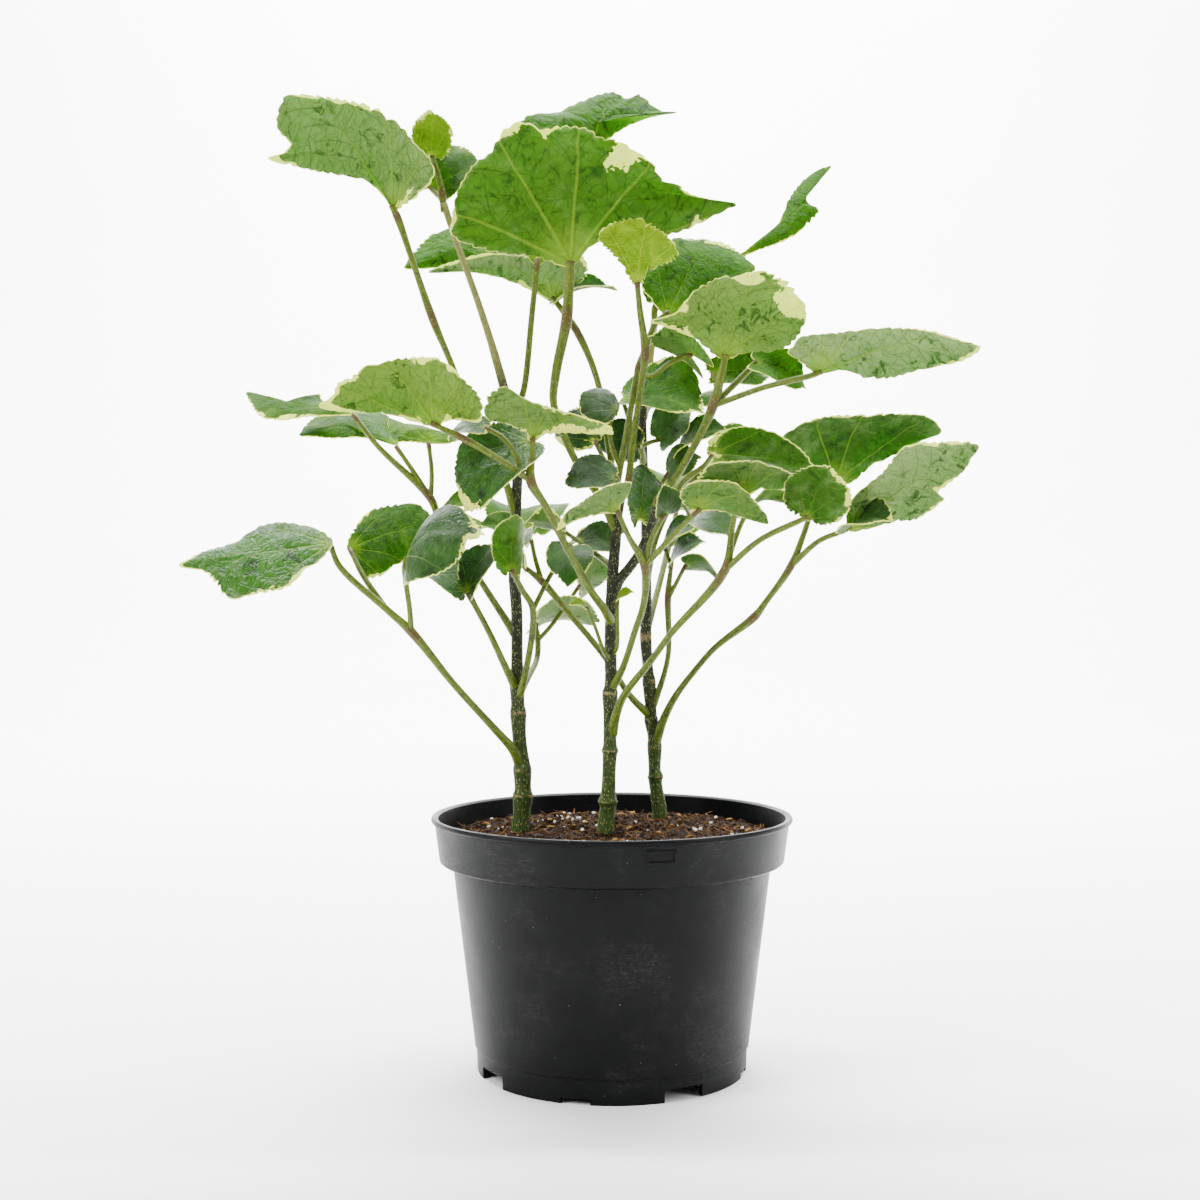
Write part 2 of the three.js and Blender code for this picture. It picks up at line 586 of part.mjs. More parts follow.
        edge: [
          [-46, 360.5], [-66, 364.8], [-84, 364.8], [-95, 364.8], [-92, 371], [-88.4, 375.5], [-83.5, 379.8],
          [-76.4, 382.6], [-66, 384.5], [-56, 383], [-44, 376], [-32, 362],
        ],
      },
    ],
  },
  shoot_middle_right: {
    tone: 'young',
    stalks: [[
      [6, 262, -7, 1.5], [7.6, 268, -9, 1.7], [9.6, 286.5, -11, 1.6], [13.7, 314, -14, 1.5], [15.3, 326, -17, 1.9],
      [12.8, 346.5, -24, 1.5], [11.5, 359, -28, 1.2],
    ]],
    blades: [{
      base: [11.5, 358.5, -28], facing: [0, 0.93, 0.35], dome: 0.06,
      edge: [
        [3, 368], [-7, 380], [-1.5, 385.5], [5.5, 388], [13, 388.5], [20.5, 384.5], [27.5, 378.5], [31, 372.5],
        [29, 369], [19, 364.5],
      ],
    }],
  },
  shoot_middle_left: {
    tone: 'upper',
    stalks: [
      [
        [3, 257, -5, 1.4], [2.6, 266, -1, 1.6], [6.5, 288, 2, 1.6], [11, 314, 3, 1.5], [12.4, 320, 3, 1.8],
        [16, 330, 3, 1.5], [20, 340, 2, 1.4], [26, 345.5, 2, 1.1],
      ],
      [[4, 274, 0, 1.3], [0, 284, 2, 1.2], [-1, 294, 4, 1.1], [2, 300.5, 4, 1]],
      [[3, 268, -1, 1.3], [-3, 277, 2, 1.2], [-8, 286.5, 6, 1]],
      [[3, 268, -1, 1.3], [1.5, 270.5, -9, 1.2], [2, 269, -16, 1]],
      [[12, 318, 3, 1.4], [18, 316, -3, 1.2], [27.5, 322.5, -7, 1.2], [37, 326, -9, 1]],
    ],
    blades: [
      {
        base: [26, 344.6, 2], facing: [-0.1, -0.8, 0.55], dome: 0.07,
        edge: [
          [18.5, 350], [13.5, 357.5], [17.5, 367], [23, 375], [29.5, 379.5], [35.5, 378], [41, 378.5], [52.5, 376.5],
          [60, 371.5], [66, 364.5], [59.5, 355.5], [46, 349],
        ],
      },
      {
        base: [2, 300, 4], facing: [0.1, -0.8, 0.55], dome: 0.1,
        edge: [
          [-1, 294.5], [-6.5, 294], [-12.5, 297], [-15.5, 303], [-13.5, 308.5], [-7.5, 310.5], [-1.5, 310], [2.5, 306],
        ],
      },
      {
        base: [-8, 286, 6], facing: [0, -0.9, 0.43], dome: 0.08,
        edge: [
          [-9, 283], [-15, 281.5], [-23, 284], [-26.5, 289], [-24, 296], [-17, 301.5], [-9, 300.5], [-3.5, 294],
          [-4.5, 287],
        ],
      },
      { base: [2, 269, -16], tip: [-22, 267, -20], facing: [0.1, -0.7, 0.7], wide: [13, 12], points: 11 },
      { base: [36.5, 325.5, -9], tip: [16, 334, -16], facing: [0, 0.6, 0.8], wide: [8, 8], lobes: 0.5, points: 11 },
    ],
  },
  leaf_right_high: {
    tone: 'under',
    stalks: [
      [
        [20, 254, -15, 1.5], [21, 259, -15.5, 1.9], [27, 266, -18, 1.8], [40.3, 289, -26, 1.8], [46.3, 302.5, -30, 2.2],
        [51.3, 322, -33, 1.6], [51.6, 326, -33, 1.2],
      ],
      [[46.3, 302.5, -30, 1.5], [64.6, 321, -26, 1.4], [66, 323, -26, 1.1]],
      [[46.3, 302.5, -30, 1.5], [70, 311, -36, 1.4], [92, 316.5, -42, 1.4], [96, 318, -42, 1.1]],
      [[46.3, 302.5, -30, 1.5], [48, 309, -20, 1.2], [46, 317.5, -14, 1]],
    ],
    blades: [
      { base: [46, 317, -14], tip: [72, 315, -6], facing: [0, -0.85, 0.5], wide: [10, 10], points: 11 },
      {
        base: [51.5, 325, -33], facing: [0.05, 0.93, 0.35], dome: 0.07,
        edge: [
          [37, 333], [24.5, 338], [17, 340.5], [25.5, 343.5], [29.5, 345.5], [37, 354.5], [48, 361], [59, 362.5],
          [67, 364.5], [74.5, 362.5], [81.5, 359], [87, 351], [90, 346.5], [88.5, 340], [85.5, 334], [80, 328.5],
          [70, 326.5], [62, 326.5],
        ],
      },
      { base: [65.5, 322.5, -26], tip: [89, 310, -22], facing: [0.1, -0.8, 0.55], wide: [9, 10], points: 11 },
      {
        base: [95.5, 317.5, -42], facing: [0, 0.85, 0.5], dome: 0.05,
        edge: [
          [86, 322.5], [80, 328.5], [85.5, 334], [98, 335.5], [112.5, 337], [124.5, 338.5], [145.5, 337], [158, 333],
          [170, 328], [163.5, 323], [150, 320], [139.5, 318], [127, 314.5], [114.5, 315], [106, 318.5],
        ],
      },
    ],
  },
  leaf_middle_left: {
    tone: 'under',
    stalks: [
      [
        [0, 203, -6, 2.4], [-4, 210, -14, 2], [-8.7, 216.3, -20, 1.8], [-19.3, 235, -30, 1.7], [-30.7, 257, -40, 1.7],
        [-37.1, 268, -44, 2.1], [-36.5, 280, -45, 1.4], [-36.2, 288, -45, 1.1],
      ],
      [[-37.1, 268, -44, 1.5], [-50, 277, -48, 1.4], [-68.7, 287.8, -52, 1.5], [-83, 294.5, -53, 1.1]],
      [[-37.1, 268, -44, 1.4], [-36.5, 278, -38, 1.3], [-37, 287, -33, 1.1]],
      [[-40, 272, -44, 1.3], [-49, 286.9, -42, 1.2], [-58, 292.5, -41, 1.1]],
    ],
    blades: [
      {
        base: [-82, 294, -53], facing: [0.05, 0.85, 0.5], dome: 0.07,
        edge: [
          [-102, 298], [-119, 299], [-131, 300], [-134.5, 302], [-128, 307.5], [-126, 312.5], [-119, 316.5],
          [-113.5, 320.5], [-107, 322], [-96, 324.5], [-80, 324.5], [-74, 321.5], [-68.5, 316], [-63, 310.5],
          [-59.5, 305], [-59, 298], [-60, 294.5], [-73.5, 295.5],
        ],
      },
      {
        base: [-36.2, 287, -45], facing: [0, 0.85, 0.5], dome: 0.05,
        edge: [
          [-41, 290], [-48.5, 294], [-57.5, 296.5], [-58, 306], [-51, 311.5], [-47.5, 311], [-41, 306.5],
          [-26.5, 301.5], [-13.5, 297.5], [0, 293], [1, 290], [-8.5, 289.5], [-22, 289.5], [-31, 288.5],
        ],
      },
      {
        base: [-37, 286.5, -33], tip: [-67, 254, -34], facing: [-0.3, -0.8, 0.5], wide: [17, 22], arch: 0.12,
        lobes: 0.1, points: 15,
      },
      { base: [-58, 292.5, -41], tip: [-75, 287, -34], facing: [0, -0.5, 0.8], wide: [11, 10], points: 11 },
    ],
  },
  leaf_middle_small: {
    tone: 'upper',
    stalks: [
      [[0, 229, -6, 1.8], [-8, 235, 4, 1.3], [-15.6, 240.6, 9, 1.2], [-22, 245, 11, 1]],
      [[-8, 235, 4, 1.2], [-5, 240.5, 14, 1]],
    ],
    blades: [
      { base: [-15, 240.2, 8.8], tip: [5, 238, 8], facing: [0, -0.8, 0.6], wide: [9, 8], points: 11 },
      { base: [-22, 244.5, 11], tip: [-40, 249, 13], facing: [0, 0.4, 0.9], wide: [10, 10], points: 11 },
      { base: [-5, 240, 14], tip: [-21, 237, 26], facing: [0, -0.5, 0.8], wide: [9, 9], points: 11 },
    ],
  },
  leaf_middle_front: {
    tone: 'under',
    stalks: [
      [
        [-0.5, 172, -6, 2.3], [5, 182.4, -12, 1.7], [10.5, 199, -20, 1.6], [14.7, 212.7, -26, 1.6], [15.1, 229, -33, 1.9],
        [8, 242, -40, 1.3], [2.5, 254.5, -45, 1.1],
      ],
      [[15.1, 229, -33, 1.4], [18, 241, -37, 1.2], [24.5, 253.5, -41, 1.1]],
      [[15.1, 229, -33, 1.4], [27, 242, -43, 1.3], [40.5, 255.5, -54, 1.1]],
    ],
    blades: [
      {
        base: [2.3, 254, -45], facing: [0, 0.85, 0.5], dome: 0.05,
        edge: [
          [-2.5, 253], [-10, 251.5], [-17, 249.5], [-25.5, 246], [-21, 254], [-16, 257], [-10, 261.5], [-2, 266],
          [9, 267], [7.5, 261], [4, 256.5],
        ],
      },
      { base: [24.5, 253, -41], tip: [24, 267, -48], facing: [0.2, -0.8, 0.5], wide: [7, 7], points: 11 },
      {
        base: [40, 255, -54], facing: [0, 0.65, 0.75], dome: 0.05,
        edge: [
          [33, 257], [31, 262], [36, 267], [46, 268.5], [56.5, 267], [65.5, 259.5], [72.5, 248.5], [64, 250],
          [56.5, 252], [48.5, 254],
        ],
      },
    ],
  },
  leaf_right_front: {
    tone: 'under',
    stalks: [
      [
        [0, 152, -6, 2.8], [2.2, 161.8, -11, 2.2], [6, 170.5, -16, 1.8], [17.9, 185.6, -24, 1.6], [27, 198, -30, 1.6],
        [51.8, 227.3, -40, 2], [55, 246, -40, 1.4], [57.5, 256, -42, 1.2], [61, 262, -45, 1],
      ],
      [[51.8, 227.3, -40, 1.5], [56, 240, -36, 1.3], [60, 250, -34, 1.2], [64, 256.5, -32, 1]],
      [[51.8, 227.3, -40, 1.5], [67.8, 241, -47, 1.4], [83.9, 248.9, -50, 1.4], [90, 251.5, -50, 1.1]],
    ],
    blades: [
      {
        base: [61, 261.5, -45], facing: [0, 0.65, 0.75], dome: 0.07,
        edge: [
          [52, 265], [39, 268.5], [44, 274.5], [54, 277], [68, 277], [81.5, 272], [94.5, 264.5], [79, 264],
          [68, 263.5],
        ],
      },
      { base: [64, 256, -32], tip: [82, 259, -24], facing: [0, 0.4, 0.9], wide: [9, 9], points: 11 },
      {
        base: [89, 251, -50], tip: [100, 275, -58], facing: [0.1, 0.8, 0.5], wide: [16, 15], cup: -0.15,
        lobes: 0.05, points: 15,
      },
    ],
  },
  leaf_right_low: {
    tone: 'under',
    stalks: [
      [
        [19.7, 147, 42, 2.8], [23.8, 159, 38, 2.2], [29.3, 169.6, 34, 1.8], [37.6, 180.6, 30, 1.6], [47.2, 191.6, 26, 1.6],
        [65.5, 206, 20, 2], [70.6, 212.7, 18, 1.6], [82, 229, 16, 1.8], [88, 244, 20, 1.5], [91, 252, 23, 1.4],
        [102, 266.5, 26, 1.1],
      ],
      [[82, 229, 16, 1.6], [94.9, 240.6, 12, 1.4], [106.3, 245.2, 10, 1.3], [110, 247, 10, 1.1]],
    ],
    blades: [
      {
        base: [102.5, 266.5, 26], facing: [-0.15, 0.82, 0.55], dome: 0.06,
        edge: [
          [92, 271.5], [81.5, 277], [74.5, 283], [77, 287], [86.5, 294], [98.5, 298], [111, 298.5], [131, 299],
          [145.5, 297.5], [151, 291], [141.5, 286], [127, 278.5], [118.5, 273.5], [109.5, 267],
        ],
      },
      {
        base: [109.5, 246.5, 10], facing: [-0.1, 0.85, 0.5], dome: 0.06,
        edge: [
          [108, 255], [111.5, 261], [123.5, 271.5], [134, 284], [150.5, 286], [160.5, 286], [169, 284.5],
          [166, 279.5], [160.5, 271.5], [150, 262], [152.5, 259.5], [139, 250], [131, 249.5], [119, 246.5],
        ],
      },
      { base: [108.5, 246.5, 9.5], tip: [129, 249, -12], facing: [0.1, -0.7, 0.7], wide: [11, 11], points: 11 },
    ],
  },
  leaf_right_small: {
    tone: 'upper',
    stalks: [
      [[19, 165, 42, 1.9], [23.8, 179, 40, 1.5], [26, 189.7, 38, 1.4], [25.7, 215.4, 36, 1.6], [27.5, 231.5, 34, 1]],
      [[25.7, 214, 36, 1.3], [34, 230, 32, 1]],
      [[27.3, 229, 34.2, 1.1], [24, 238, 31, 1]],
    ],
    blades: [
      { base: [24, 237.5, 31], tip: [43, 248, 22], facing: [0, -0.5, 0.85], wide: [9, 9], points: 11 },
      { base: [27.5, 231, 34], tip: [44, 240, 24], facing: [0, -0.6, 0.8], wide: [8, 8], points: 11 },
      { base: [34, 229.6, 32], tip: [49, 222, 22], facing: [0, 0.5, 0.8], wide: [9, 9], points: 11 },
    ],
  },
  leaf_right_reaching: {
    tone: 'under',
    stalks: [
      [
        [17.4, 160.4, 42, 2.2], [8, 170, 34, 1.7], [-3.2, 187.4, 27, 1.6], [-20.6, 208.5, 24, 1.6], [-32, 222, 24, 1.8],
        [-40, 228.5, 21, 1.1],
      ],
      [[-32, 222, 24, 1.3], [-35, 232, 24, 1.2], [-37, 241.5, 25, 1]],
      [[-39.5, 228, 21.3, 1.1], [-43, 236, 26, 1.1], [-44, 243.5, 29, 1]],
    ],
    blades: [
      { base: [-44, 243, 29], tip: [-61, 249, 30], facing: [0, -0.55, 0.83], wide: [10, 10], points: 11 },
      { base: [-37, 241, 25], tip: [-24, 252, 40], facing: [0, 0.6, 0.8], wide: [9, 9], points: 11 },
      { base: [-40, 228, 21], tip: [-53, 237, 26], facing: [0.1, 0.6, 0.8], wide: [7, 7], points: 11 },
    ],
  },
  leaf_right_middle: {
    tone: 'under',
    stalks: [[
      [16, 222.7, 42, 2], [20, 241, 28, 1.5], [27, 257, 12, 1.4], [33, 268, 0, 1.4], [42.6, 275.5, -10, 1.2],
      [46, 280.5, -14, 1],
    ]],
    blades: [{
      base: [45.8, 280, -14], tip: [94.4, 270, -24], facing: [0, 0.6, 0.8], wide: [16, 14], arch: 0.1, lobes: 0.1,
      points: 15,
    }],
  },
  leaf_right_inner: {
    tone: 'upper',
    stalks: [
      [[14.3, 276, 42, 2], [13, 284, 33, 1.5], [8, 296, 26, 1.3], [4.8, 305.5, 22, 1]],
      [[13, 283.5, 33.5, 1.4], [17, 285.5, 35, 1.2], [22, 287, 36, 1.1]],
      [[13, 284, 33, 1.3], [12, 283.5, 26, 1]],
    ],
    blades: [
      { base: [4.8, 305, 22], tip: [43, 298, 10], facing: [0, -0.7, 0.7], wide: [24, 13], points: 15 },
      { base: [21.5, 286.5, 36], tip: [37, 300, 31], facing: [0, -0.8, 0.6], wide: [11, 11], points: 11 },
      { base: [12.3, 283.2, 26.5], tip: [-8, 288, 24], facing: [0, -0.95, 0.3], wide: [11, 11], points: 11 },
    ],
  },
  leaf_right_dark: {
    tone: 'upper',
    stalks: [
      [[15.2, 252, 42, 2], [21, 263, 32, 1.4], [26, 272, 24, 1.1]],
      [[21, 263, 32, 1.2], [32, 258, 22, 1.1], [37, 250, 12, 1]],
      [[21, 263, 32, 1.2], [16, 257, 26, 1.1], [12.8, 251, 20, 1]],
      [[25.5, 271, 25, 1.1], [31, 282, 26, 1]],
    ],
    blades: [
      {
        base: [12.8, 251, 20], facing: [-0.1, -0.9, 0.4], dome: 0.06,
        edge: [
          [10.5, 246], [7, 256], [5.5, 264], [9, 273], [13.5, 276], [19, 272], [24, 265], [22, 256], [17.5, 246],
        ],
      },
      { base: [31, 281.5, 26], tip: [54, 291, 14], facing: [0, -0.6, 0.8], wide: [11, 10], points: 11 },
      { base: [26, 271.6, 24], tip: [42, 279, 15], facing: [0, -0.85, 0.5], wide: [9, 9], points: 11 },
      { base: [37, 250, 12], tip: [54, 242, 0], facing: [0, -0.5, 0.85], wide: [11, 11], points: 11 },
    ],
  },
  leaf_right_crown: {
    tone: 'under',
    stalks: [
      [[19.5, 338, 42, 1.6], [20.6, 349, 42, 1.7], [40, 360, 38, 1.4], [61, 372, 34, 1.1]],
      [[20.6, 347, 42, 1.3], [25, 353, 54, 1]],
    ],
    blades: [
      {
        base: [60.5, 371.5, 34], facing: [-0.2, -0.85, 0.5], dome: 0.04,
        edge: [
          [74.5, 383], [81.5, 398], [90, 407.5], [100.5, 412.5], [89.5, 398.5], [85.5, 390], [95, 392], [92.5, 387.5],
          [81.5, 378.5], [70, 374],
        ],
      },
      { base: [25, 352.5, 54], tip: [32, 378, 84], facing: [0, -0.5, 0.8], wide: [16, 16], points: 11 },
    ],
  },
  leaf_right_rear: {
    tone: 'upper',
    stalks: [
      [[16, 200, 42, 2.2], [20, 214, 56, 1.7], [26, 238, 78, 1.6], [30, 256, 92, 1.1]],
      [[26, 238, 78, 1.4], [36, 246, 84, 1.1]],
    ],
    blades: [
      { base: [30, 255.5, 92], tip: [34, 270, 126], facing: [0, -0.3, 0.95], wide: [23, 23], points: 15 },
      { base: [36, 245.5, 84], tip: [62, 250, 96], facing: [0, -0.3, 0.95], wide: [14, 14], points: 11 },
    ],
  },
  leaf_right_rear_high: {
    tone: 'upper',
    stalks: [[[14.2, 296, 42, 2], [17, 302, 54, 1.6], [26, 304, 70, 1.1]]],
    blades: [{ base: [25.5, 303.5, 70], tip: [44, 302, 100], facing: [0, -0.2, 1], wide: [20, 20], points: 15 }],
  },
  leaf_right_side: {
    tone: 'upper',
    stalks: [[[15.6, 240, 42, 2], [26, 256, 50, 1.6], [44, 275, 54, 1.4], [50, 281, 54, 1]]],
    blades: [{ base: [49.5, 280.5, 54], tip: [74, 287, 66], facing: [0, -0.25, 1], wide: [15, 15], points: 11 }],
  },
  bud_shoot_left: {
    tone: 'young',
    stalks: [[[-0.5, 186, -6, 1.2], [-3.6, 190, -12, 1], [-8, 202, -17, 0.9], [-12, 210.5, -18, 0.9]]],
    blades: [{ base: [-12, 210, -18], tip: [-20, 211.5, -20], facing: [0, -0.5, 0.9], wide: [4, 4], points: 11 }],
  },
  bud_shoot_right: {
    tone: 'young',
    stalks: [[[0, 188, -6, 1.2], [2.4, 192, -11, 1], [2.6, 204, -14, 0.9], [2.6, 214, -14, 0.9]]],
    blades: [{ base: [2.6, 213.5, -14], tip: [10.5, 217, -17], facing: [0, -0.5, 0.9], wide: [4, 4], points: 11 }],
  },
};

// ---------------------------------------------------------------- the assembly

const POT_BLACK = new THREE.Color(0.035, 0.037, 0.039);
const SOIL_BROWN = new THREE.Color(0.09, 0.055, 0.033);
const BARK = new THREE.Color(0.07, 0.085, 0.035);
const TONES = {
  under: new THREE.Color(0.2, 0.37, 0.1),
  upper: new THREE.Color(0.04, 0.19, 0.035),
  young: new THREE.Color(0.33, 0.5, 0.05),
};

const plant = new THREE.Group();

function addPiece(name, solid, color, roughness) {
  const material = new THREE.MeshStandardMaterial({ color, roughness, metalness: 0 });
  const mesh = new THREE.Mesh(geometryOf(mainBody(solid)), material);
  mesh.name = name;
  plant.add(mesh);
}

const canes = Object.entries(CANES).map(([name, rows]) => ({ name, solid: caneSolid(rows) }));
const clearances = Object.values(CANES).map((rows) => caneSolid(rows, GAP));

addPiece('pot', potSolid(), POT_BLACK, 0.42);
addPiece('soil', clearances.reduce((soil, clearance) => soil.subtract(clearance), soilSolid()), SOIL_BROWN, 0.95);
canes.forEach(({ name, solid }) => addPiece(name, solid, BARK, 0.7));

for (const [name, { tone, stalks, blades }] of Object.entries(LEAVES)) {
  const grown = join([...stalks.map((rows) => tube(rows)), ...blades.map(blade)]);
  const leaf = clearances.reduce((rest, clearance) => rest.subtract(clearance), grown);
  addPiece(name, leaf, TONES[tone], tone === 'upper' ? 0.35 : 0.6);
}

export default plant;
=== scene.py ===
"""Potted aralia: three ringed canes with round, toothed, cream-edged leaves in a black nursery pot."""

import math
import random

import bmesh
import bpy
import numpy as np
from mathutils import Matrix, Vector, noise


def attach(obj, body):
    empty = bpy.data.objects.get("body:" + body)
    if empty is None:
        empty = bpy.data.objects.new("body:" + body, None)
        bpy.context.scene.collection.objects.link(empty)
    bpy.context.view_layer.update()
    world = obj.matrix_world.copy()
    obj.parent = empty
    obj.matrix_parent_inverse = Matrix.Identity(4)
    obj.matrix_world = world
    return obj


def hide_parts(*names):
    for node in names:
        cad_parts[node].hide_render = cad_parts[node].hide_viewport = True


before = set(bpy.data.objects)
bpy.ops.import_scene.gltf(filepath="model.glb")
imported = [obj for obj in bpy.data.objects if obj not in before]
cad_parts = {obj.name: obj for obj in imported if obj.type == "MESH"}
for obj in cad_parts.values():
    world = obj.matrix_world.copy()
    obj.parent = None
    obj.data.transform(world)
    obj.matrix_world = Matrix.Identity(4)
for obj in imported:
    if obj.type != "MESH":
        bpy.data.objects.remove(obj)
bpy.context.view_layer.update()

MM = 0.001

# ---------------------------------------------------------------- sizes, in mm

EYE = Vector((-5.4, -764.0, 219.6))

POT_HEIGHT = 115.3
LIP_RADIUS = 82.5
LIP_THICKNESS = 1.6
BAND_BOTTOM = 95.0
BAND_TOP_RADIUS = 81.0
BAND_BOTTOM_RADIUS = 78.8
BODY_TOP_RADIUS = 72.7
SEAM_HEIGHT = 11.6
SEAM_RADIUS = 62.7
FOOT_RADIUS = 61.5
POT_WALL = 1.8
DISC_RADIUS = 30.0
CHANNEL_HEIGHT = 6.0
LABEL_ANGLE = -1.32

SOIL_TOP = 105.0
SOIL_HEAP = 4.0
CANE_BURIED_TO = 78.0

BLADE_THICKNESS = 0.5
SMALL_BLADE, MIDDLING_BLADE = 32, 50
TOOTH_PITCH = 5.4
TOOTH_YOUNG, TOOTH_EDGED, TOOTH_PLAIN = 3.4, 1.35, 1.9
STEPS_TO_A_TOOTH = 7
STEM = 1.5  # how far an edged blade reaches back over the end of its stalk
TURN_OF_MARGIN = 2.86  # of a plain blade, from its tip round to its base, in radians
WAVE, POINT = 0.04, 0.7  # of a plain blade: its ruffle, and how far its tip is drawn out
FAR_FROM_RIM = 40.0
RINGS = [0.0, 0.16, 0.32, 0.46, 0.58, 0.68, 0.77, 0.85, 0.91, 0.955, 0.985, 1.0]
RINGS_OF_SMALL = [0.0, 0.25, 0.48, 0.68, 0.84, 0.95, 1.0]
VEIN_SPREAD = 0.6  # between two main veins, in radians
UNDER, UPPER, YOUNG, STALK_FINISH, LIT = range(5)

SOIL_REACH = 0.077  # of the scattered mix, in metres

# ---------------------------------------------------------------- canes and leaves: across, up, depth, radius

CANES = {
    "cane_left": [
        [
            [-41.7, CANE_BURIED_TO, 8, 4.4], [-41.7, 106, 8, 4.3], [-41.2, 117, 8, 4.1], [-40.8, 124, 8, 4.6],
            [-40.8, 127, 8, 3.9], [-41.1, 136, 8, 4.2], [-41.4, 140, 8, 3.6], [-42.6, 152, 8, 3.3],
            [-43, 162, 8, 3.7], [-43.2, 166, 8, 3.2], [-43.5, 175.5, 8, 3.5], [-43.5, 179, 8, 3],
            [-43.5, 207.6, 8, 2.7], [-44.7, 224.6, 8, 2.7], [-44, 248, 8, 2.5], [-44, 290, 8, 2.4],
            [-50, 313, 8, 2.1], [-55.4, 332, 9, 1.8], [-62.3, 353, 10, 1.6], [-71, 377, 10, 1.5],
            [-77, 395, 10, 1.7],
        ],
    ],
    "cane_middle": [
        [
            [-3.2, CANE_BURIED_TO, -6, 4.2], [-3.2, 105, -6, 4.1], [-1.8, 118, -6, 3.7], [-1.7, 121, -6, 4.3],
            [-1.6, 124, -6, 3.5], [-1, 142, -6, 3.3], [-0.9, 144.4, -6, 3.8], [-0.9, 147, -6, 3.2],
            [-0.9, 162, -6, 3.1], [-0.9, 171, -6, 3.5], [-0.5, 174, -6, 3], [-0.5, 197, -6, 2.8],
            [0, 213.6, -6, 2.8], [0.5, 226, -6, 2.6], [1.8, 241, -6, 2.5], [2.3, 250, -6, 2.4], [5, 266, -6, 2.3],
        ],
        [
            [0, 214, -6, 2.2], [4, 223, -7, 2.3], [8.7, 229, -9, 2.3], [13.3, 236, -12, 2.2],
            [18.8, 250, -14, 1.9], [20.2, 256, -15, 2.1],
        ],
    ],
    "cane_right": [
        [
            [22, CANE_BURIED_TO, 42, 3.9], [22, 108, 42, 3.8], [22, 116, 42, 3.6], [20, 130, 42, 3.3],
            [20, 132.5, 42, 3.8], [19.7, 135, 42, 3.1], [19.5, 147, 42, 3.5], [19, 151, 42, 2.9],
            [17.9, 159, 42, 3.3], [17.9, 162, 42, 2.8], [17, 177, 42, 3.2], [16.8, 180, 42, 2.7],
            [15.6, 197, 42, 2.8], [16, 208.5, 42, 2.5], [15.6, 245, 42, 2.3], [14.2, 287, 42, 2.1],
            [14.2, 300.6, 42, 2], [17.4, 323.6, 42, 1.9], [19.7, 342, 42, 1.8],
        ],
    ],
}

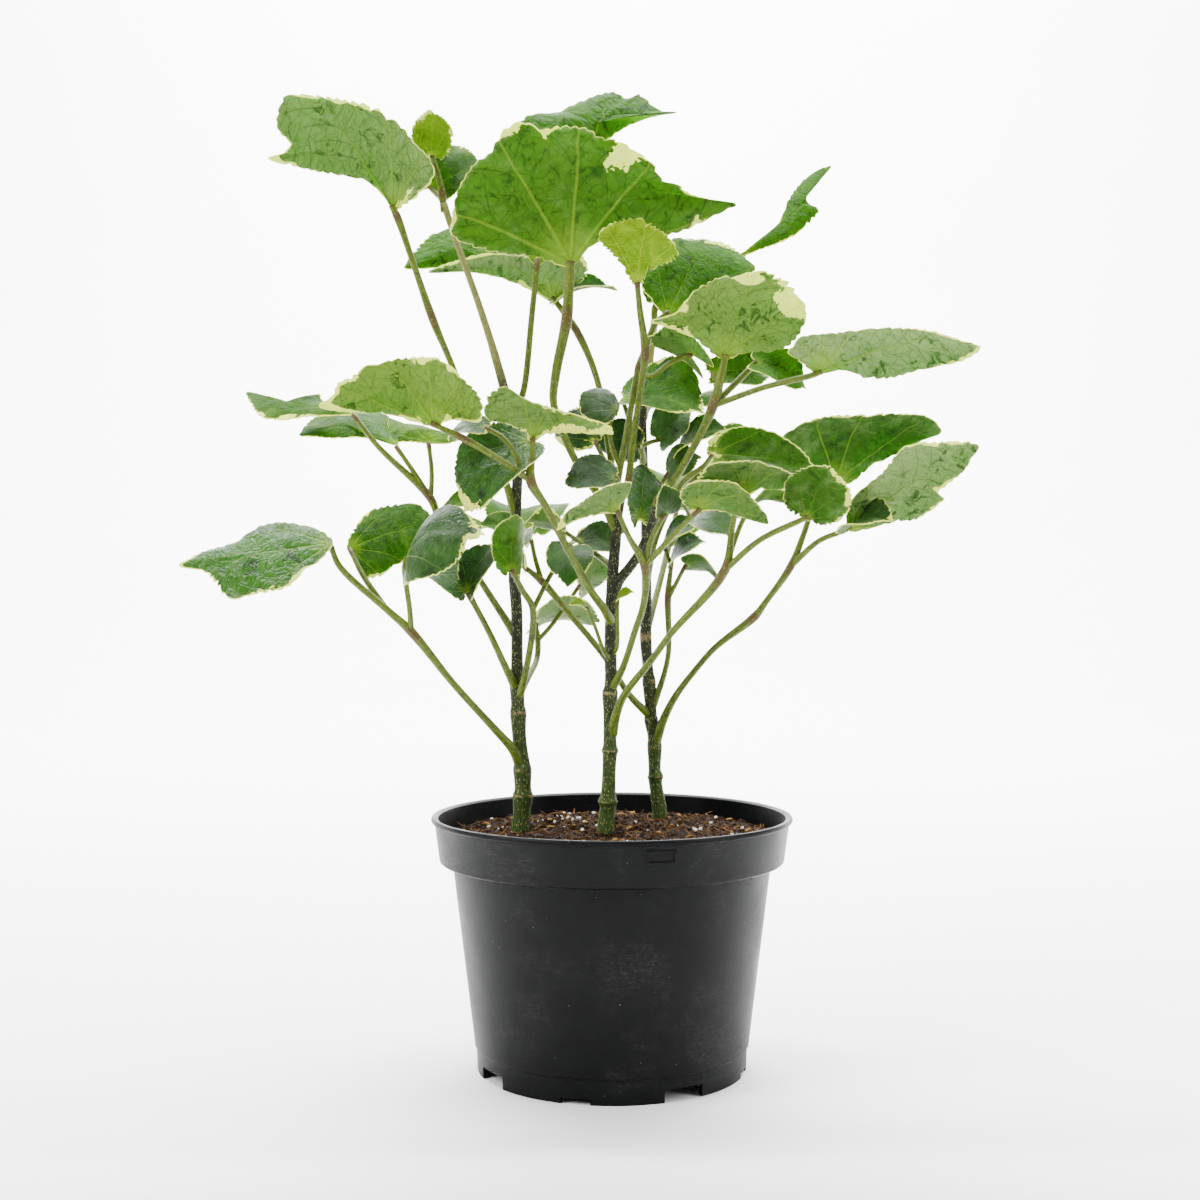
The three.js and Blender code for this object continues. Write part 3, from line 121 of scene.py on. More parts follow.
# A blade has a base, where its stalk ends, and the direction that its upper side faces. A plain blade has a tip and how
# far it reaches to the left and right of its midrib. An edged blade has its margin as seen from EYE, and a dome. Its
# green may be given as vivid and as paleness, from dark to pale grey-green, whose low values are partly painted shade,
# on blades that lie in the shadow of others and on blades that take strong light; its cream patches are given as
# across, up, reach and depth. A matt blade has the lit finish, matt and with its tones painted darker against the
# strong light on it, on both sides, and a grown one is full grown though its shoot is young.
LEAVES = {
    "leaf_left_high": dict(tone="under", stalks=[
        [
            [-44.3, 252, 8, 2.2], [-49, 268, 5, 1.8], [-61, 291, 0, 1.5], [-74, 323, -4, 1.5], [-82, 342, -6, 1.8],
            [-92, 371, -8, 1.5], [-98.5, 389.5, -8, 1.7], [-101, 394, -8, 1.2],
        ],
    ], blades=[
        dict(
            base=[-101, 393, -8], facing=[0.1, 0.93, 0.35], dome=0.08,
            patches=[(-156, 416, 9, 5), (-112, 441, 18, 2)], vivid=0.3, shade=0.75,
            edge=[
                [-94, 394], [-85, 401.5], [-80.7, 407.5], [-83, 415.5], [-89.5, 422], [-95, 429.5], [-104.5, 437],
                [-112, 440.5], [-124.5, 443], [-139, 445], [-149, 444.5], [-154, 434], [-153, 427.5],
                [-148, 422.5], [-150, 418.5], [-158, 415.5], [-139, 410], [-123, 407], [-112, 404.5], [-104, 397],
            ],
        ),
    ]),
    "shoot_left_top": dict(tone="young", stalks=[
        [[-77, 391, 10, 1.5], [-77.6, 399, 10, 1.7], [-80.6, 412, 8, 1.2], [-82.5, 417, 6, 1]],
        [[-77.5, 397, 10, 1.2], [-83, 402, 18, 1]],
    ], blades=[
        dict(base=[-82.5, 416.5, 6], tip=[-84, 438, 0], facing=[0.2, -0.9, 0.3], wide=[10, 10]),
        dict(
            base=[-83, 401.5, 18], tip=[-68, 421, 32], facing=[0.2, -0.8, 0.6], wide=[17, 16], vivid=0.3, shade=0,
            matt=True, grown=True,
        ),
    ]),
    "leaf_left_low": dict(tone="upper", stalks=[
        [
            [-41.5, 137, 8, 3], [-45.5, 145, 4, 2.3], [-53, 153.5, 0, 1.9], [-73, 175.5, -8, 1.7],
            [-92, 199, -14, 2], [-103, 209, -17, 1.7], [-124.6, 228.7, -20, 1.5], [-129, 238.8, -22, 1.2],
        ],
        [[-103, 209, -17, 1.4], [-113.6, 224, -12, 1.4], [-120, 237, -4, 1.2]],
        [[-92, 199, -14, 1.5], [-92.6, 208.5, -18, 1.3], [-95, 229, -22, 1.3], [-94, 233, -22, 1.1]],
    ], blades=[
        dict(
            base=[-129, 239, -22], facing=[-0.05, -0.75, 0.65], dome=0.05,
            patches=[(-196, 229, 14, 3), (-150, 217, 14, 3)], vivid=0.3, shade=0.5,
            edge=[
                [-131, 244], [-143, 249], [-151.5, 249], [-161, 247], [-174, 239.5], [-187, 236], [-194, 232],
                [-199, 229], [-187, 226], [-181, 219.5], [-175.5, 213.5], [-163.5, 216], [-148, 219.5],
                [-139.5, 227], [-134, 231],
            ],
        ),
        dict(
            base=[-120, 236.5, -4], facing=[0.1, -0.8, 0.6], dome=0.08, vivid=0.2, shade=0, matt=True,
            edge=[
                [-121, 241], [-116, 249.5], [-110.5, 254.8], [-99.7, 257.3], [-86, 255.5], [-80, 247], [-86, 237],
                [-97, 230], [-108, 223.5], [-113.7, 224], [-118, 232],
            ],
        ),
        dict(
            base=[-94, 232.5, -22], tip=[-58, 243, -40], facing=[-0.1, -0.75, 0.6], wide=[19, 18], arch=0.25,
            cup=-0.15, patches=[(-62, 243, 10, 5)], vivid=0, shade=0.3,
        ),
    ]),
    "leaf_left_back": dict(tone="under", stalks=[
        [
            [-44.4, 198, 8, 2.4], [-51, 208, 16, 1.8], [-65, 229.6, 28, 1.6], [-79, 250, 36, 1.6],
            [-83, 260, 37, 1.9], [-107, 283.7, 40, 1.4], [-119, 299, 40, 1.2],
        ],
        [[-83, 260, 37, 1.4], [-90, 271, 38, 1.3], [-99, 284, 38, 1.1]],
        [[-83, 260, 37, 1.4], [-82.5, 272, 40, 1.2], [-84, 286, 42, 1.1]],
        [[-79, 250, 36, 1.4], [-78, 254, 31, 1]],
    ], blades=[
        dict(base=[-78, 253.5, 31], tip=[-57, 257, 24], facing=[0, -0.5, 0.85], wide=[8, 8], matt=True),
        dict(
            base=[-119, 298.5, 40], facing=[0, -0.5, 0.85], dome=0.04, vivid=0.2, shade=0.2, matt=True,
            edge=[
                [-131, 303.5], [-133.2, 307.4], [-137.5, 306.6], [-144.6, 304.5], [-151.7, 303.8], [-160.2, 306.6],
                [-167.5, 309], [-165, 302], [-163, 298.8], [-158.8, 296.6], [-151.7, 296], [-140.3, 297],
                [-131, 297.5],
            ],
        ),
        dict(
            base=[-99, 283.5, 38], facing=[0, -0.5, 0.85], dome=0.06, vivid=0.4, shade=0.2, matt=True,
            edge=[
                [-108, 286.5], [-116.2, 287.8], [-126.1, 287.5], [-137.5, 287.9], [-143.2, 288.8], [-140.3, 293.8],
                [-135.4, 297.4], [-123.3, 300], [-104, 299], [-100, 291],
            ],
        ),
        dict(
            base=[-84, 285.5, 42], facing=[0, -0.55, 0.83], dome=0.06, vivid=0, shade=0.7, matt=True,
            edge=[
                [-90, 285.5], [-94.9, 285.8], [-102, 285.3], [-102.5, 291], [-102, 297], [-96.3, 294.5],
                [-86.3, 293.1], [-79.3, 291], [-68, 287], [-76, 284.5],
            ],
        ),
    ]),
    "leaf_left_inner": dict(tone="upper", stalks=[
        [[-43.5, 172, 8, 2.4], [-48, 181, 2, 1.8], [-56.4, 199, -2, 1.5], [-66, 217, -4, 1.4]],
    ], blades=[
        dict(base=[-67, 217.5, -4], tip=[-89, 228, 8], facing=[0, -0.6, 0.8], wide=[11, 12]),
        dict(base=[-66, 217.5, -4], tip=[-51, 240, -4], facing=[-0.3, -0.7, 0.6], wide=[8, 9]),
    ]),
    "leaf_left_front": dict(tone="under", stalks=[
        [
            [-43, 168, 8, 2.2], [-40, 178, 2, 1.7], [-36.2, 209, -6, 1.6], [-41, 218, -12, 1.4],
            [-46, 227.5, -16, 1.1],
        ],
        [[-36.2, 209, -6, 1.3], [-29.3, 222.7, -4, 1.2], [-22.5, 234, 2, 1.2], [-19, 239, 3, 1.1]],
    ], blades=[
        dict(base=[-46, 227, -16], tip=[-43, 253, -24], facing=[-0.3, 0.75, 0.5], wide=[8, 8], cup=0.25),
        dict(base=[-19, 238.5, 3], tip=[-21, 219.5, -12], facing=[0.1, -0.7, 0.7], wide=[11, 11]),
    ]),
    "leaf_left_under": dict(tone="under", stalks=[
        [
            [-43.5, 168, 8, 2.2], [-39, 177, 18, 1.7], [-34.4, 186.5, 32, 1.5], [-34, 196, 40, 1.5],
            [-35, 203, 44, 1.1],
        ],
        [[-34, 195, 39, 1.2], [-29.3, 200, 43, 1.2], [-23, 208, 48, 1.1], [-14.7, 220.5, 52, 1]],
    ], blades=[
        dict(base=[-35, 202.5, 44], tip=[-5, 203, 56], facing=[0, 0.55, 0.85], wide=[15, 14], vivid=0, shade=0.95),
        dict(base=[-14.7, 220, 52], tip=[1, 228, 60], facing=[0, 0.8, 0.6], wide=[12, 12], vivid=0, shade=0.8),
    ]),
    "leaf_left_rear": dict(tone="upper", stalks=[
        [[-44, 210, 8, 2.2], [-44, 222, 26, 1.7], [-42, 236, 48, 1.6], [-40, 246, 62, 1.1]],
        [[-42, 236, 48, 1.4], [-45, 243, 56, 1.1]],
    ], blades=[
        dict(base=[-40, 245.5, 62], tip=[-38, 254, 100], facing=[0, -0.2, 1], wide=[22, 22], matt=True),
        dict(base=[-45, 242.5, 56], tip=[-68, 242, 76], facing=[0, -0.1, 1], wide=[13, 13], matt=True),
    ]),
    "leaf_centre_big": dict(tone="under", stalks=[
        [
            [2, 245, -6, 2.4], [-4, 258, -7, 2], [-17, 278, -8, 1.8], [-26.6, 303, -10, 1.8],
            [-25.7, 316.7, -12, 2.2], [-20.6, 342.8, -14, 2.4], [-19.5, 362, -14, 2.3], [-18.8, 368.5, -14, 1.8],
        ],
    ], blades=[
        dict(
            base=[-18.8, 367.5, -14], facing=[0.05, 0.95, 0.3], dome=0.07,
            patches=[(-44, 430, 6, 7), (-33, 424, 6, 20), (4, 412, 8, 34), (38, 394, 7, 8), (-72, 390, 9, 2)],
            vivid=0.65, shade=0.5,
            edge=[
                [-35, 370], [-49.5, 371.5], [-64, 375], [-74, 380.5], [-73.5, 389], [-72, 398], [-68.5, 405.5],
                [-63, 413.5], [-56.5, 418], [-53.5, 423], [-49.5, 429], [-45, 432], [-38, 432], [-32.5, 429],
                [-25.5, 430.5], [-18, 430.5], [-10, 429], [-5.5, 425.5], [3, 424], [11, 419], [19, 413.5],
                [24, 405.5], [31, 403.5], [36, 399.5], [47, 396.5], [57.5, 394.5], [47, 389], [34, 382.5],
                [16, 378.5], [-6.5, 376.5], [-12, 372.5],
            ],
        ),
    ]),
    "leaf_centre_back": dict(tone="upper", stalks=[
        [
            [-44, 290, 8, 2], [-43, 302, 12, 1.7], [-40.3, 309.8, 13, 1.6], [-36.5, 345, 13, 1.5],
            [-34, 369.5, 13, 1.3],
        ],
    ], blades=[
        dict(
            base=[-34, 369, 13], facing=[0, -0.9, 0.42], dome=0.05, vivid=0.5, shade=0.2, matt=True,
            edge=[
                [-46, 390], [-46.5, 415], [-41, 433], [-36, 435.5], [-25.5, 436.5], [-14, 441.5], [-0.5, 445.5],
                [7.5, 442.5], [13, 444.5], [17, 441.5], [22.5, 437], [30, 436], [20.5, 434.5], [8, 430], [-4, 420],
                [-12.5, 397], [-24, 378.5],
            ],
        ),
    ]),
    "leaf_centre_left": dict(tone="under", stalks=[
        [
            [4, 245, -6, 2], [3, 254, 4, 1.7], [-2, 287, 15, 1.6], [-6.9, 314.9, 24, 1.6], [-16, 336.4, 30, 1.8],
            [-25.7, 350, 32, 1.4], [-27.5, 352, 32, 1.1],
        ],
    ], blades=[
        dict(
            base=[-27, 351.5, 32], facing=[0, 0.8, 0.6], dome=0.04, vivid=0, shade=0.9,
            edge=[
                [-35.5, 354], [-45, 358.5], [-58, 362], [-68, 363.2], [-84.5, 363], [-72, 368.5], [-59.3, 372],
                [-40, 371], [-24, 369], [-13, 371], [-11, 362], [-18, 356],
            ],
        ),
        dict(base=[-25.5, 350, 32], tip=[3, 355, 38], facing=[0, -0.4, 0.9], wide=[6, 7]),
        dict(
            base=[-27.5, 351.5, 32.5], facing=[0, -0.8, 0.6], dome=0.04, vivid=0.5, shade=0.3, matt=True,
            edge=[
                [-46, 360.5], [-66, 364.8], [-84, 364.8], [-95, 364.8], [-92, 371], [-88.4, 375.5], [-83.5, 379.8],
                [-76.4, 382.6], [-66, 384.5], [-56, 383], [-44, 376], [-32, 362],
            ],
        ),
    ]),
    "shoot_middle_right": dict(tone="young", stalks=[
        [
            [6, 262, -7, 1.5], [7.6, 268, -9, 1.7], [9.6, 286.5, -11, 1.6], [13.7, 314, -14, 1.5],
            [15.3, 326, -17, 1.9], [12.8, 346.5, -24, 1.5], [11.5, 359, -28, 1.2],
        ],
    ], blades=[
        dict(
            base=[11.5, 358.5, -28], facing=[0, 0.93, 0.35], dome=0.06,
            edge=[
                [3, 368], [-7, 380], [-1.5, 385.5], [5.5, 388], [13, 388.5], [20.5, 384.5], [27.5, 378.5],
                [31, 372.5], [29, 369], [19, 364.5],
            ],
        ),
    ]),
    "shoot_middle_left": dict(tone="upper", stalks=[
        [
            [3, 257, -5, 1.4], [2.6, 266, -1, 1.6], [6.5, 288, 2, 1.6], [11, 314, 3, 1.5], [12.4, 320, 3, 1.8],
            [16, 330, 3, 1.5], [20, 340, 2, 1.4], [26, 345.5, 2, 1.1],
        ],
        [[4, 274, 0, 1.3], [0, 284, 2, 1.2], [-1, 294, 4, 1.1], [2, 300.5, 4, 1]],
        [[3, 268, -1, 1.3], [-3, 277, 2, 1.2], [-8, 286.5, 6, 1]],
        [[3, 268, -1, 1.3], [1.5, 270.5, -9, 1.2], [2, 269, -16, 1]],
        [[12, 318, 3, 1.4], [18, 316, -3, 1.2], [27.5, 322.5, -7, 1.2], [37, 326, -9, 1]],
    ], blades=[
        dict(
            base=[26, 344.6, 2], facing=[-0.1, -0.8, 0.55], dome=0.07, patches=[(46, 377, 10, 5)], vivid=0.9,
            shade=0.3, matt=True,
            edge=[
                [18.5, 350], [13.5, 357.5], [17.5, 367], [23, 375], [29.5, 379.5], [35.5, 378], [41, 378.5],
                [52.5, 376.5], [60, 371.5], [66, 364.5], [59.5, 355.5], [46, 349],
            ],
        ),
        dict(
            base=[2, 300, 4], facing=[0.1, -0.8, 0.55], dome=0.1, vivid=0, shade=0.35,
            edge=[
                [-1, 294.5], [-6.5, 294], [-12.5, 297], [-15.5, 303], [-13.5, 308.5], [-7.5, 310.5], [-1.5, 310],
                [2.5, 306],
            ],
        ),
        dict(
            base=[-8, 286, 6], facing=[0, -0.9, 0.43], dome=0.08, vivid=0, shade=0.1,
            edge=[
                [-9, 283], [-15, 281.5], [-23, 284], [-26.5, 289], [-24, 296], [-17, 301.5], [-9, 300.5],
                [-3.5, 294], [-4.5, 287],
            ],
        ),
        dict(base=[2, 269, -16], tip=[-22, 267, -20], facing=[0.1, -0.7, 0.7], wide=[13, 12], vivid=0, shade=0.2),
        dict(
            base=[36.5, 325.5, -9], tip=[16, 334, -16], facing=[0, 0.6, 0.8], wide=[8, 8], lobes=0.5, vivid=0.1,
            shade=0.7,
        ),
    ]),
    "leaf_right_high": dict(tone="under", stalks=[
        [
            [20, 254, -15, 1.5], [21, 259, -15.5, 1.9], [27, 266, -18, 1.8], [40.3, 289, -26, 1.8],
            [46.3, 302.5, -30, 2.2], [51.3, 322, -33, 1.6], [51.6, 326, -33, 1.2],
        ],
        [[46.3, 302.5, -30, 1.5], [64.6, 321, -26, 1.4], [66, 323, -26, 1.1]],
        [[46.3, 302.5, -30, 1.5], [70, 311, -36, 1.4], [92, 316.5, -42, 1.4], [96, 318, -42, 1.1]],
        [[46.3, 302.5, -30, 1.5], [48, 309, -20, 1.2], [46, 317.5, -14, 1]],
    ], blades=[
        dict(
            base=[46, 317, -14], tip=[72, 315, -6], facing=[0, -0.85, 0.5], wide=[10, 10], vivid=0.3, shade=0.2,
            matt=True,
        ),
        dict(
            base=[51.5, 325, -33], facing=[0.05, 0.93, 0.35], dome=0.07,
            patches=[(64, 361, 6, 8), (81, 351, 8, 18), (30, 341, 8, 8)], vivid=0.85, shade=0.9,
            edge=[
                [37, 333], [24.5, 338], [17, 340.5], [25.5, 343.5], [29.5, 345.5], [37, 354.5], [48, 361],
                [59, 362.5], [67, 364.5], [74.5, 362.5], [81.5, 359], [87, 351], [90, 346.5], [88.5, 340],
                [85.5, 334], [80, 328.5], [70, 326.5], [62, 326.5],
            ],
        ),
        dict(
            base=[65.5, 322.5, -26], tip=[89, 310, -22], facing=[0.1, -0.8, 0.55], wide=[9, 10], vivid=0.8,
            shade=0.3, matt=True,
        ),
        dict(
            base=[95.5, 317.5, -42], facing=[0, 0.85, 0.5], dome=0.05, patches=[(160, 328, 18, 3)], vivid=0.1,
            shade=0.95,
            edge=[
                [86, 322.5], [80, 328.5], [85.5, 334], [98, 335.5], [112.5, 337], [124.5, 338.5], [145.5, 337],
                [158, 333], [170, 328], [163.5, 323], [150, 320], [139.5, 318], [127, 314.5], [114.5, 315],
                [106, 318.5],
            ],
        ),
    ]),
    "leaf_middle_left": dict(tone="under", stalks=[
        [
            [0, 203, -6, 2.4], [-4, 210, -14, 2], [-8.7, 216.3, -20, 1.8], [-19.3, 235, -30, 1.7],
            [-30.7, 257, -40, 1.7], [-37.1, 268, -44, 2.1], [-36.5, 280, -45, 1.4], [-36.2, 288, -45, 1.1],
        ],
        [[-37.1, 268, -44, 1.5], [-50, 277, -48, 1.4], [-68.7, 287.8, -52, 1.5], [-83, 294.5, -53, 1.1]],
        [[-37.1, 268, -44, 1.4], [-36.5, 278, -38, 1.3], [-37, 287, -33, 1.1]],
        [[-40, 272, -44, 1.3], [-49, 286.9, -42, 1.2], [-58, 292.5, -41, 1.1]],
    ], blades=[
        dict(
            base=[-82, 294, -53], facing=[0.05, 0.85, 0.5], dome=0.07,
            patches=[(-122, 311, 10, 6), (-84, 322, 13, 4)], vivid=0.8, shade=0.85,
            edge=[
                [-102, 298], [-119, 299], [-131, 300], [-134.5, 302], [-128, 307.5], [-126, 312.5], [-119, 316.5],
                [-113.5, 320.5], [-107, 322], [-96, 324.5], [-80, 324.5], [-74, 321.5], [-68.5, 316], [-63, 310.5],
                [-59.5, 305], [-59, 298], [-60, 294.5], [-73.5, 295.5],
            ],
        ),
        dict(
            base=[-36.2, 287, -45], facing=[0, 0.85, 0.5], dome=0.05, patches=[(-14, 294, 20, 9)], vivid=0.5,
            shade=0.8,
            edge=[
                [-41, 290], [-48.5, 294], [-57.5, 296.5], [-58, 306], [-51, 311.5], [-47.5, 311], [-41, 306.5],
                [-26.5, 301.5], [-13.5, 297.5], [0, 293], [1, 290], [-8.5, 289.5], [-22, 289.5], [-31, 288.5],
            ],
        ),
        dict(
            base=[-37, 286.5, -33], tip=[-67, 254, -34], facing=[-0.3, -0.8, 0.5], wide=[17, 22], arch=0.12,
            lobes=0.1, patches=[(-64, 256, 10, 6), (-40, 262, 8, 4)], vivid=0.1, shade=0.5,
        ),
        dict(
            base=[-58, 292.5, -41], tip=[-75, 287, -34], facing=[0, -0.5, 0.8], wide=[11, 10], vivid=0.1,
            shade=0.6,
        ),
    ]),
    "leaf_middle_small": dict(tone="upper", stalks=[
        [[0, 229, -6, 1.8], [-8, 235, 4, 1.3], [-15.6, 240.6, 9, 1.2], [-22, 245, 11, 1]],
        [[-8, 235, 4, 1.2], [-5, 240.5, 14, 1]],
    ], blades=[
        dict(base=[-15, 240.2, 8.8], tip=[5, 238, 8], facing=[0, -0.8, 0.6], wide=[9, 8], vivid=0, shade=0.2),
        dict(base=[-22, 244.5, 11], tip=[-40, 249, 13], facing=[0, 0.4, 0.9], wide=[10, 10]),
        dict(base=[-5, 240, 14], tip=[-21, 237, 26], facing=[0, -0.5, 0.8], wide=[9, 9]),
    ]),
    "leaf_middle_front": dict(tone="under", stalks=[
        [
            [-0.5, 172, -6, 2.3], [5, 182.4, -12, 1.7], [10.5, 199, -20, 1.6], [14.7, 212.7, -26, 1.6],
            [15.1, 229, -33, 1.9], [8, 242, -40, 1.3], [2.5, 254.5, -45, 1.1],
        ],
        [[15.1, 229, -33, 1.4], [18, 241, -37, 1.2], [24.5, 253.5, -41, 1.1]],
        [[15.1, 229, -33, 1.4], [27, 242, -43, 1.3], [40.5, 255.5, -54, 1.1]],
    ], blades=[
        dict(
            base=[2.3, 254, -45], facing=[0, 0.85, 0.5], dome=0.05, patches=[(-24, 246, 12, 5)], vivid=0,
            shade=0.8,
            edge=[
                [-2.5, 253], [-10, 251.5], [-17, 249.5], [-25.5, 246], [-21, 254], [-16, 257], [-10, 261.5],
                [-2, 266], [9, 267], [7.5, 261], [4, 256.5],
            ],
        ),
        dict(base=[24.5, 253, -41], tip=[24, 267, -48], facing=[0.2, -0.8, 0.5], wide=[7, 7], vivid=0, shade=0.3),
        dict(
            base=[40, 255, -54], facing=[0, 0.65, 0.75], dome=0.05, vivid=0, shade=0.65,
            edge=[
                [33, 257], [31, 262], [36, 267], [46, 268.5], [56.5, 267], [65.5, 259.5], [72.5, 248.5], [64, 250],
                [56.5, 252], [48.5, 254],
            ],
        ),
    ]),
    "leaf_right_front": dict(tone="under", stalks=[
        [
            [0, 152, -6, 2.8], [2.2, 161.8, -11, 2.2], [6, 170.5, -16, 1.8], [17.9, 185.6, -24, 1.6],
            [27, 198, -30, 1.6], [51.8, 227.3, -40, 2], [55, 246, -40, 1.4], [57.5, 256, -42, 1.2],
            [61, 262, -45, 1],
        ],
        [[51.8, 227.3, -40, 1.5], [56, 240, -36, 1.3], [60, 250, -34, 1.2], [64, 256.5, -32, 1]],
        [[51.8, 227.3, -40, 1.5], [67.8, 241, -47, 1.4], [83.9, 248.9, -50, 1.4], [90, 251.5, -50, 1.1]],
    ], blades=[
        dict(
            base=[61, 261.5, -45], facing=[0, 0.65, 0.75], dome=0.07, patches=[(50, 270, 10, 3)], vivid=0.1,
            shade=0.7,
            edge=[
                [52, 265], [39, 268.5], [44, 274.5], [54, 277], [68, 277], [81.5, 272], [94.5, 264.5], [79, 264],
                [68, 263.5],
            ],
        ),
        dict(base=[64, 256, -32], tip=[82, 259, -24], facing=[0, 0.4, 0.9], wide=[9, 9], matt=True),
        dict(
            base=[89, 251, -50], tip=[100, 275, -58], facing=[0.1, 0.8, 0.5], wide=[16, 15], cup=-0.15, lobes=0.05,
            patches=[(106, 262, 12, 4)], vivid=0.2, shade=0.2,
        ),
    ]),
    "leaf_right_low": dict(tone="under", stalks=[
        [
            [19.7, 147, 42, 2.8], [23.8, 159, 38, 2.2], [29.3, 169.6, 34, 1.8], [37.6, 180.6, 30, 1.6],
            [47.2, 191.6, 26, 1.6], [65.5, 206, 20, 2], [70.6, 212.7, 18, 1.6], [82, 229, 16, 1.8],
            [88, 244, 20, 1.5], [91, 252, 23, 1.4], [102, 266.5, 26, 1.1],
        ],
        [[82, 229, 16, 1.6], [94.9, 240.6, 12, 1.4], [106.3, 245.2, 10, 1.3], [110, 247, 10, 1.1]],
    ], blades=[
        dict(
            base=[102.5, 266.5, 26], facing=[-0.15, 0.82, 0.55], dome=0.06, patches=[(110, 298, 24, 2)],
            vivid=0.25, shade=0.1,
            edge=[
                [92, 271.5], [81.5, 277], [74.5, 283], [77, 287], [86.5, 294], [98.5, 298], [111, 298.5],
                [131, 299], [145.5, 297.5], [151, 291], [141.5, 286], [127, 278.5], [118.5, 273.5], [109.5, 267],
            ],
        ),
        dict(
            base=[109.5, 246.5, 10], facing=[-0.1, 0.85, 0.5], dome=0.06,
            patches=[(150, 286, 18, 2.5), (146, 262, 10, 2)], vivid=0.1, shade=0.85,
            edge=[
                [108, 255], [111.5, 261], [123.5, 271.5], [134, 284], [150.5, 286], [160.5, 286], [169, 284.5],
                [166, 279.5], [160.5, 271.5], [150, 262], [152.5, 259.5], [139, 250], [131, 249.5], [119, 246.5],
            ],
        ),
        dict(
            base=[108.5, 246.5, 9.5], tip=[129, 249, -12], facing=[0.1, -0.7, 0.7], wide=[11, 11], vivid=0,
            shade=0.3,
        ),
    ]),
    "leaf_right_small": dict(tone="upper", stalks=[
        [
            [19, 165, 42, 1.9], [23.8, 179, 40, 1.5], [26, 189.7, 38, 1.4], [25.7, 215.4, 36, 1.6],
            [27.5, 231.5, 34, 1],
        ],
        [[25.7, 214, 36, 1.3], [34, 230, 32, 1]],
        [[27.3, 229, 34.2, 1.1], [24, 238, 31, 1]],
    ], blades=[
        dict(base=[24, 237.5, 31], tip=[43, 248, 22], facing=[0, -0.5, 0.85], wide=[9, 9]),
        dict(base=[27.5, 231, 34], tip=[44, 240, 24], facing=[0, -0.6, 0.8], wide=[8, 8]),
        dict(base=[34, 229.6, 32], tip=[49, 222, 22], facing=[0, 0.5, 0.8], wide=[9, 9]),
    ]),
    "leaf_right_reaching": dict(tone="under", stalks=[
        [
            [17.4, 160.4, 42, 2.2], [8, 170, 34, 1.7], [-3.2, 187.4, 27, 1.6], [-20.6, 208.5, 24, 1.6],
            [-32, 222, 24, 1.8], [-40, 228.5, 21, 1.1],
        ],
        [[-32, 222, 24, 1.3], [-35, 232, 24, 1.2], [-37, 241.5, 25, 1]],
        [[-39.5, 228, 21.3, 1.1], [-43, 236, 26, 1.1], [-44, 243.5, 29, 1]],
    ], blades=[
        dict(base=[-44, 243, 29], tip=[-61, 249, 30], facing=[0, -0.55, 0.83], wide=[10, 10], matt=True),
        dict(base=[-37, 241, 25], tip=[-24, 252, 40], facing=[0, 0.6, 0.8], wide=[9, 9]),
        dict(base=[-40, 228, 21], tip=[-53, 237, 26], facing=[0.1, 0.6, 0.8], wide=[7, 7]),
    ]),
    "leaf_right_middle": dict(tone="under", stalks=[
        [
            [16, 222.7, 42, 2], [20, 241, 28, 1.5], [27, 257, 12, 1.4], [33, 268, 0, 1.4], [42.6, 275.5, -10, 1.2],
            [46, 280.5, -14, 1],
        ],
    ], blades=[
        dict(
            base=[45.8, 280, -14], tip=[94.4, 270, -24], facing=[0, 0.6, 0.8], wide=[16, 14], arch=0.1, lobes=0.1,
            patches=[(48, 281, 10, 5)], vivid=0.6, shade=0.2,
        ),
    ]),
    "leaf_right_inner": dict(tone="upper", stalks=[
        [[14.3, 276, 42, 2], [13, 284, 33, 1.5], [8, 296, 26, 1.3], [4.8, 305.5, 22, 1]],
        [[13, 283.5, 33.5, 1.4], [17, 285.5, 35, 1.2], [22, 287, 36, 1.1]],
        [[13, 284, 33, 1.3], [12, 283.5, 26, 1]],
    ], blades=[
        dict(
            base=[4.8, 305, 22], tip=[43, 298, 10], facing=[0, -0.7, 0.7], wide=[24, 13], vivid=0.5, shade=0.1,
            matt=True,
        ),
        dict(base=[21.5, 286.5, 36], tip=[37, 300, 31], facing=[0, -0.8, 0.6], wide=[11, 11], vivid=0.2, shade=0.7),
        dict(
            base=[12.3, 283.2, 26.5], tip=[-8, 288, 24], facing=[0, -0.95, 0.3], wide=[11, 11], vivid=0, shade=0.1,
        ),
    ]),
    "leaf_right_dark": dict(tone="upper", stalks=[
        [[15.2, 252, 42, 2], [21, 263, 32, 1.4], [26, 272, 24, 1.1]],
        [[21, 263, 32, 1.2], [32, 258, 22, 1.1], [37, 250, 12, 1]],
        [[21, 263, 32, 1.2], [16, 257, 26, 1.1], [12.8, 251, 20, 1]],
        [[25.5, 271, 25, 1.1], [31, 282, 26, 1]],
    ], blades=[
        dict(
            base=[12.8, 251, 20], facing=[-0.1, -0.9, 0.4], dome=0.06, vivid=0.2, shade=0.5,
            edge=[
                [10.5, 246], [7, 256], [5.5, 264], [9, 273], [13.5, 276], [19, 272], [24, 265], [22, 256],
                [17.5, 246],
            ],
        ),
        dict(
            base=[31, 281.5, 26], tip=[54, 291, 14], facing=[0, -0.6, 0.8], wide=[11, 10], vivid=0, shade=0.1,
            matt=True,
        ),
        dict(base=[26, 271.6, 24], tip=[42, 279, 15], facing=[0, -0.85, 0.5], wide=[9, 9]),
        dict(base=[37, 250, 12], tip=[54, 242, 0], facing=[0, -0.5, 0.85], wide=[11, 11]),
    ]),
    "leaf_right_crown": dict(tone="under", stalks=[
        [[19.5, 338, 42, 1.6], [20.6, 349, 42, 1.7], [40, 360, 38, 1.4], [61, 372, 34, 1.1]],
        [[20.6, 347, 42, 1.3], [25, 353, 54, 1]],
    ], blades=[
        dict(
            base=[60.5, 371.5, 34], facing=[-0.2, -0.85, 0.5], dome=0.04, vivid=0.6, shade=0.4, matt=True,
            edge=[
